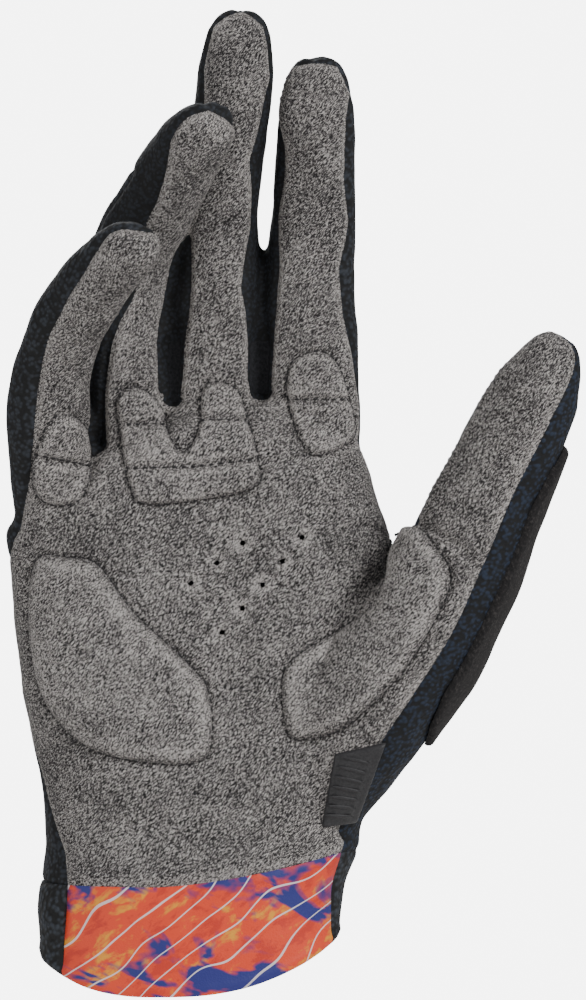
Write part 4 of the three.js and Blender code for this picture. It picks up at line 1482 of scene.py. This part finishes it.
@dataclass(frozen=True)
class PalmLeather:
    """The palm leather with its folds and vents, and a groove round each pad. Sizes in mm."""

    cloth: Cloth
    seam_depth: float = 0.45
    lip: float = 0.3
    slack: float = 0.25
    vent_radius: float = 0.72
    groove: float = 0.6
    groove_width: float = 0.9

    def relief(self, sewing: Sewing, cloth: Cloth) -> Array:
        """Slow swelling and folds."""
        x, _, z = cloth.points.T
        height = sewing.slack(cloth.points, self.slack)
        for fold in FOLDS:
            height = height + fold.height * bell(path_distance(fold.path, x, z), fold.width)
        return height

    def vented(self) -> Cloth:
        """The leather with its rows of vents cut out."""
        x, _, z = self.cloth.points.T
        holes = np.full(len(x), 1e9)
        for start, end, count in VENT_ROWS:
            for share in np.linspace(0, 1, count):
                at = (np.array(start) * (1 - share) + np.array(end) * share) * (PALM_WIDTH, PALM_LENGTH)
                holes = np.minimum(holes, np.hypot(x - at[0], z - at[1]))
        return self.cloth.part(holes - self.vent_radius)[0]

    def dressed(self, sewing: Sewing, cloth: Cloth) -> tuple[Array, Array]:
        """Height of the outer face at each point, and how much lighter the nap is there from rubbing near the
        seams, or darker from painted shade in the grooves round the pads.
        """
        edge, gap = sewing.seam(cloth, self.seam_depth, self.lip)
        height = edge + self.relief(sewing, cloth)
        # Lighter near the seams, as rubbed nap.
        wear_and_shade = 0.8 * bell(gap - 1.0, 1.0)
        for cushion in CUSHIONS:
            depth = cushion.inside(cloth)
            height = height - self.groove * bell(depth, self.groove_width)
            # Darker along the groove round each pad, as painted shade.
            wear_and_shade = wear_and_shade - 0.35 * bell(depth, 0.7)
        return height, wear_and_shade

    def build(self, sewing: Sewing) -> None:
        """Sews the leather."""
        cloth = self.vented()
        height, wear_and_shade = self.dressed(sewing, cloth)
        made = sewing.sewn("palm_leather", cloth, height, Finish.SUEDE, sewing.wall, wear_and_shade=wear_and_shade)
        sewing.hand_in(made, ["palm_panel"])

    def top(self, sewing: Sewing) -> Cloth:
        """The outer face without its vents, for what is laid on it."""
        return self.cloth.raised(self.dressed(sewing, self.cloth)[0])


@dataclass(frozen=True)
class KnitPanel:
    """A knit panel, pulled in at its seams and sunk at the bottom of the gaps between fingers.

    Attributes:
        sink: how far it sinks in a gap, in mm.
        sink_edge: how far inside the gap that is reached, in mm.
        sink_full: height up to which it sinks fully, in mm.
        sink_end: height from which it doesn't sink, in mm.
    """

    name: str
    cloth: Cloth
    node: str
    finish: Finish
    slot: str
    seam_depth: float = 0.45
    slack: float = 0.3
    sink: float = 2.4
    sink_edge: float = 2.2
    sink_full: float = 145.0
    sink_end: float = 160.0

    def build(self, sewing: Sewing) -> None:
        """Sews the panel."""
        cloth = self.cloth
        edge, _ = sewing.seam(cloth, self.seam_depth, 0.0)
        low = self.sink * smooth_step(self.sink_end, self.sink_full, cloth.points[:, 2])
        sunk = sum(low * smooth_step(0.0, self.sink_edge, cloth.fields[f"gap_{i}"]) for i in range(3))
        height = edge + sewing.slack(cloth.points, self.slack) - sunk
        made = sewing.sewn(self.name, cloth, height, self.finish, sewing.wall)
        sewing.hand_in(made, [self.node])


@dataclass(frozen=True)
class CuffBand:
    """One side of the cuff, turned in at its hem. Sizes in mm.

    Attributes:
        bulge: how far it stands out on the little finger's side.
        bulge_up: height of the bulge's middle, and bulge_spread how tall it is.
        bulge_from: how far across it begins, and bulge_full where it is full.
        roll: height of the rolled hem, roll_up above its edge and roll_width wide.
        turn: how much of the hem is turned in, by turn_depth at most.
    """

    name: str
    cloth: Cloth
    node: str
    finish: Finish
    slot: str
    bulge: float = 0.0
    bulge_up: float = 13.0
    bulge_spread: float = 7.0
    bulge_from: float = -22.0
    bulge_full: float = -33.0
    seam_depth: float = 0.35
    slack: float = 0.3
    roll: float = 0.35
    roll_up: float = 1.2
    roll_width: float = 1.1
    turn: float = 1.6
    turn_depth: float = 0.2

    def build(self, sewing: Sewing) -> None:
        """Sews this side of the cuff."""
        cloth = self.cloth
        x, _, z = cloth.points.T
        hem = cloth.fields["hem"]
        edge, _ = sewing.seam(cloth, self.seam_depth, 0.0)
        level = np.where(hem < self.turn, np.maximum(edge, -self.turn_depth), edge)
        roll = self.roll * bell(hem - self.roll_up, self.roll_width)
        sideways = smooth_step(self.bulge_from, self.bulge_full, x)
        bulge = self.bulge * bell(z - self.bulge_up, self.bulge_spread) * sideways
        height = level + roll + bulge + sewing.slack(cloth.points, self.slack)
        made = sewing.sewn(self.name, cloth, height, self.finish, sewing.wall)
        sewing.hand_in(made, [self.node])


# What lies on the panels

@dataclass(frozen=True)
class WipeRow:
    """The wipe at a share of the thumb's length: its front and outer edge, as shares of the half sizes."""

    along: float
    front: float
    outer: float


@dataclass(frozen=True)
class ThumbWipe:
    """The napped patch on the outer side of the thumb. Sizes in mm."""

    rows: tuple[WipeRow, ...] = (
        WipeRow(0.28, -0.4, 0.35), WipeRow(0.32, -0.05, 0.0), WipeRow(0.38, 0.15, -0.4),
        WipeRow(0.48, 0.18, -0.6), WipeRow(0.6, 0.16, -0.6), WipeRow(0.72, 0.06, -0.5),
        WipeRow(0.79, -0.08, -0.2), WipeRow(0.83, -0.4, 0.3))
    reach: float = 4.0
    base: float = 0.3
    pile: float = 1.5
    edge: float = 1.3
    slack: float = 0.2
    underside: float = 0.1

    def inside(self, f: dict[str, Array]) -> Array:
        """How far inside the patch each point of the form lies."""
        along = [row.along for row in self.rows]
        front = np.interp(f["thumb_along"], along, [row.front for row in self.rows]) * f["thumb_half_depth"]
        outer = np.interp(f["thumb_along"], along, [row.outer for row in self.rows]) * f["thumb_half_width"]
        ends = np.minimum(f["thumb_along"] - along[0], along[-1] - f["thumb_along"]) * THUMB.length
        return np.minimum.reduce([
            front - f["thumb_deep"], f["thumb_across"] - outer, ends, self.reach - f["thumb_outside"]])

    def build(self, sewing: Sewing) -> None:
        """Lays the patch on the thumb."""
        cloth, _ = sewing.form.part(self.inside(sewing.form.fields))
        gap = nearest(cloth.points, cloth.points[cloth.rim()])
        dome = np.sqrt(1 - (1 - np.clip(gap / self.edge, 0, 1)) ** 2)
        height = self.base + self.pile * dome + sewing.slack(cloth.points, self.slack) * dome
        made = sewing.sewn(
            "thumb_wipe_pile", cloth, height, Finish.PILE, -self.underside, inner=Finish.PILE)
        sewing.hand_in(made, ["thumb_wipe"])


@dataclass(frozen=True)
class GripTab:
    """The rubber tab over the wrist seam, with plain raised bars along its middle. Sizes in mm.

    Attributes:
        outline: from the front, as shares of the palm's width and length.
        border: depth of the groove beside its edge, border_inset from it and border_width wide.
        middle: share of the tab's width at which the bars lie.
        span: shares of the tab's length between which they lie.
    """

    outline: tuple[tuple[float, float], ...] = (
        (0.407, 0.384), (0.547, 0.405), (0.463, 0.262), (0.368, 0.253))
    base: float = 0.35
    thickness: float = 1.0
    edge: float = 0.7
    border: float = 0.3
    border_inset: float = 1.6
    border_width: float = 0.4
    underside: float = 0.1
    near: float = 3.0
    middle: float = 0.44
    span: tuple[float, float] = (0.14, 0.88)
    bars: Stitching = Stitching("grip_tab_bars", pitch=2.3, length=1.0, width=8.0, height=0.55)

    def cut(self, form: Cloth, outline: Array) -> Cloth:
        """Its part of the form, on the front of the wrist alone."""
        def inside(cloth: Cloth) -> Array:
            return polygon_depth(outline, cloth.points[:, 0], cloth.points[:, 2])
        near = form.take((np.minimum(inside(form), -form.points[:, 1])[form.faces] > -self.near).any(1))
        return near.part(np.minimum(inside(near), -near.points[:, 1] - 1.0))[0]

    def build(self, sewing: Sewing) -> None:
        """Moulds the tab and its bars."""
        outline = np.array(in_mm(self.outline))
        cloth = self.cut(sewing.form, outline)
        depth = np.maximum(polygon_depth(outline, cloth.points[:, 0], cloth.points[:, 2]), 0)
        dome = np.sqrt(1 - (1 - np.clip(depth / self.edge, 0, 1)) ** 2)
        border = self.border * bell(depth - self.border_inset, self.border_width)
        height = self.base + self.thickness * dome - border
        made = sewing.sewn(
            "grip_tab_rubber", cloth, height, Finish.RUBBER, -self.underside, inner=Finish.RUBBER)
        sewing.hand_in(made, ["grip_tab"])
        top = outline[0] * (1 - self.middle) + outline[1] * self.middle
        low = outline[3] * (1 - self.middle) + outline[2] * self.middle
        path = [top * (1 - share) + low * share for share in np.linspace(*self.span, 24)]
        line = Draped(cloth.raised(height)).line(path)
        bars = self.bars.lay([line], sewing.wardrobe.take(Finish.RUBBER))
        sewing.hand_in(bars, [])


@dataclass(frozen=True)
class Needlework:
    """Thread round the pads, along their channels and beside the seams. Sizes in mm."""

    steps: int = 60
    inset: float = 0.6
    beside: float = 1.1
    pad_rows: Stitching = Stitching("pad_stitches", 2.2, 1.35, 0.62, 0.6)
    edge_rows: Stitching = Stitching("edge_stitches", 1.9, 1.1, 0.38, 0.34)

    def build(self, sewing: Sewing, leather: Cloth, pads: dict[str, Cloth]) -> None:
        """Sews both kinds of row.

        Args:
            sewing: what the pieces share.
            leather: outer face of the palm leather.
            pads: outer face of each pad, by its name.
        """
        rows: list[tuple[Array, Array]] = []
        ground = Draped(leather)
        for cushion in CUSHIONS:
            outline = rounded(cushion.outline)
            rows.append(ground.line(np.vstack([outline, outline[:1]])))
            top = Draped(pads[cushion.name])
            for channel in cushion.channels:
                (x0, z0), (x1, z1) = in_mm(channel)
                path = np.stack([np.linspace(x0, x1, self.steps), np.linspace(z0, z1, self.steps)], axis=1)
                path = path[polygon_depth(outline, path[:, 0], path[:, 1]) > self.inset]
                rows.append(top.line(path))
        made = self.pad_rows.lay(rows, sewing.wardrobe.take(Finish.DARK_THREAD))
        sewing.hand_in(made, [])
        edge = leather.contour(leather.fields["leather"], self.beside)
        made = self.edge_rows.lay(edge, sewing.wardrobe.take(Finish.GREY_THREAD))
        sewing.hand_in(made, [])


SIDE_NODES = tuple(f"side_{one.name}_{other.name}" for one, other in zip(FINGERS, FINGERS[1:]))


@dataclass(frozen=True)
class Glove:
    """The whole glove: its panels and what lies on them."""

    sewing: Sewing

    def panels(self) -> dict[str, Cloth]:
        """The form cut along its seams, by node."""
        cut: dict[str, Cloth] = {}
        whole, _ = self.sewing.form.part(self.sewing.form.fields["hem"])
        leather, rest = whole.part(whole.fields["leather"])
        cut["palm_panel"], cut["cuff_front"] = leather.part(leather.fields["cuff"])
        back, cut["cuff_back"] = rest.part(rest.fields["cuff"])
        for i, node in enumerate(SIDE_NODES):
            cut[node], back = back.part(back.fields[f"side_{i}"])
        cut["thumb_back"], cut["back_panel"] = back.part(back.fields["thumb"])
        return cut

    def build(self) -> None:
        """Makes every piece."""
        sewing = self.sewing
        cut = self.panels()
        leather = PalmLeather(cut["palm_panel"])
        leather.build(sewing)
        knits = [("back_knit", "back_panel", Finish.BACK_KNIT, "back_knit"),
                 ("thumb_back_knit", "thumb_back", Finish.THUMB_KNIT, "thumb_knit")]
        knits.extend((f"{node}_knit", node, Finish.SIDE_KNIT, "side_knit") for node in SIDE_NODES)
        for name, node, finish, slot in knits:
            KnitPanel(name, cut[node], node, finish, slot).build(sewing)
        CuffBand("cuff_tape", cut["cuff_front"], "cuff_front", Finish.PRINT, "cuff_print").build(sewing)
        CuffBand("cuff_mesh", cut["cuff_back"], "cuff_back", Finish.CUFF_KNIT, "cuff_mesh", 1.2).build(sewing)
        pads = {cushion.name: cushion.build(sewing, leather) for cushion in CUSHIONS}
        ThumbWipe().build(sewing)
        GripTab().build(sewing)
        Needlework().build(sewing, leather.top(sewing), pads)


# The room it is shown in

@dataclass(frozen=True)
class Studio:
    """Camera at the photograph's angle, soft light, white surroundings and a pale floor. Sizes in mm."""

    distance: float = VIEW_DISTANCE
    aim: tuple[float, float] = VIEW_AIM
    span: float = 238.8
    plane: float = VIEW_PLANE
    floor_height: float = -150.0
    floor_low: tuple[float, float] = (-1300.0, -1300.0)
    floor_high: tuple[float, float] = (1350.0, 1200.0)
    lit: float = 0.3
    shown: float = 6.0

    def camera(self) -> None:
        """A level camera in front of the palm."""
        data = bpy.data.cameras.new("camera")
        data.sensor_fit = "AUTO"
        data.sensor_width = 36.0
        data.lens = data.sensor_width * (self.distance - self.plane) / self.span
        data.clip_start, data.clip_end = 0.05, 20.0
        made = bpy.data.objects.new("camera", data)
        made.location = (self.aim[0] * MM, -self.distance * MM, self.aim[1] * MM)
        made.rotation_euler = (math.radians(90), 0, 0)
        bpy.context.scene.collection.objects.link(made)
        bpy.context.scene.camera = made

    def light(self, name: str, place: tuple[float, float, float], size: float, power: float) -> None:
        """A square soft light, aimed at the middle of the glove."""
        data = bpy.data.lights.new(name, "AREA")
        data.energy, data.size = power, size
        made = bpy.data.objects.new(name, data)
        made.location = place
        target = Vector((self.aim[0] * MM, 0, self.aim[1] * MM))
        made.rotation_euler = (target - made.location).to_track_quat("-Z", "Y").to_euler()
        bpy.context.scene.collection.objects.link(made)

    def floor(self) -> None:
        """A plain pale floor, below what the camera sees."""
        (x0, y0), (x1, y1) = self.floor_low, self.floor_high
        corners = [(x, y, self.floor_height) for x in (x0, x1) for y in (y0, y1)]
        made = new_mesh("floor", np.array(corners), [(0, 2, 3, 1)])
        paper = Pattern("paper_matt_white")
        grain = paper.noise(paper.turned((0, 0, 0), (8, 8, 8)), 2.0)
        made.data.materials.append(paper.finish(
            ramp(paper.tree, grain, [(0.0, "#e9e8e6"), (1.0, "#f2f1ef")]), 0.9))

    def world(self) -> None:
        """White surroundings that light the glove only softly."""
        made = bpy.data.worlds.new("studio")
        made.use_nodes = True
        tree = made.node_tree
        tree.nodes.clear()
        seen_ray = add_node(tree, "ShaderNodeLightPath").outputs["Is Camera Ray"]
        strength = maths(tree, "ADD", self.lit, maths(tree, "MULTIPLY", seen_ray, self.shown))
        light = add_node(tree, "ShaderNodeBackground", inputs={
            "Color": (1.0, 1.0, 1.0, 1.0), "Strength": strength})
        add_node(tree, "ShaderNodeOutputWorld", inputs={"Surface": light.outputs[0]})
        bpy.context.scene.world = made

    def build(self) -> None:
        """Sets up the room."""
        self.camera()
        self.world()
        self.light("key", (0.85, -0.85, 0.8), 0.45, 12.5)
        self.light("back", (-0.4, 1.2, 0.9), 0.8, 10.0)
        self.light("fill", (-0.9, -0.9, 0.3), 1.0, 4.2)
        self.floor()


def main() -> None:
    """Builds the room and the glove."""
    logging.basicConfig(level=logging.INFO, format="%(name)s: %(message)s")
    Studio().build()
    Glove(Sewing(Wardrobe(), HandForm().made())).build()


if __name__ == "__main__":
    main()
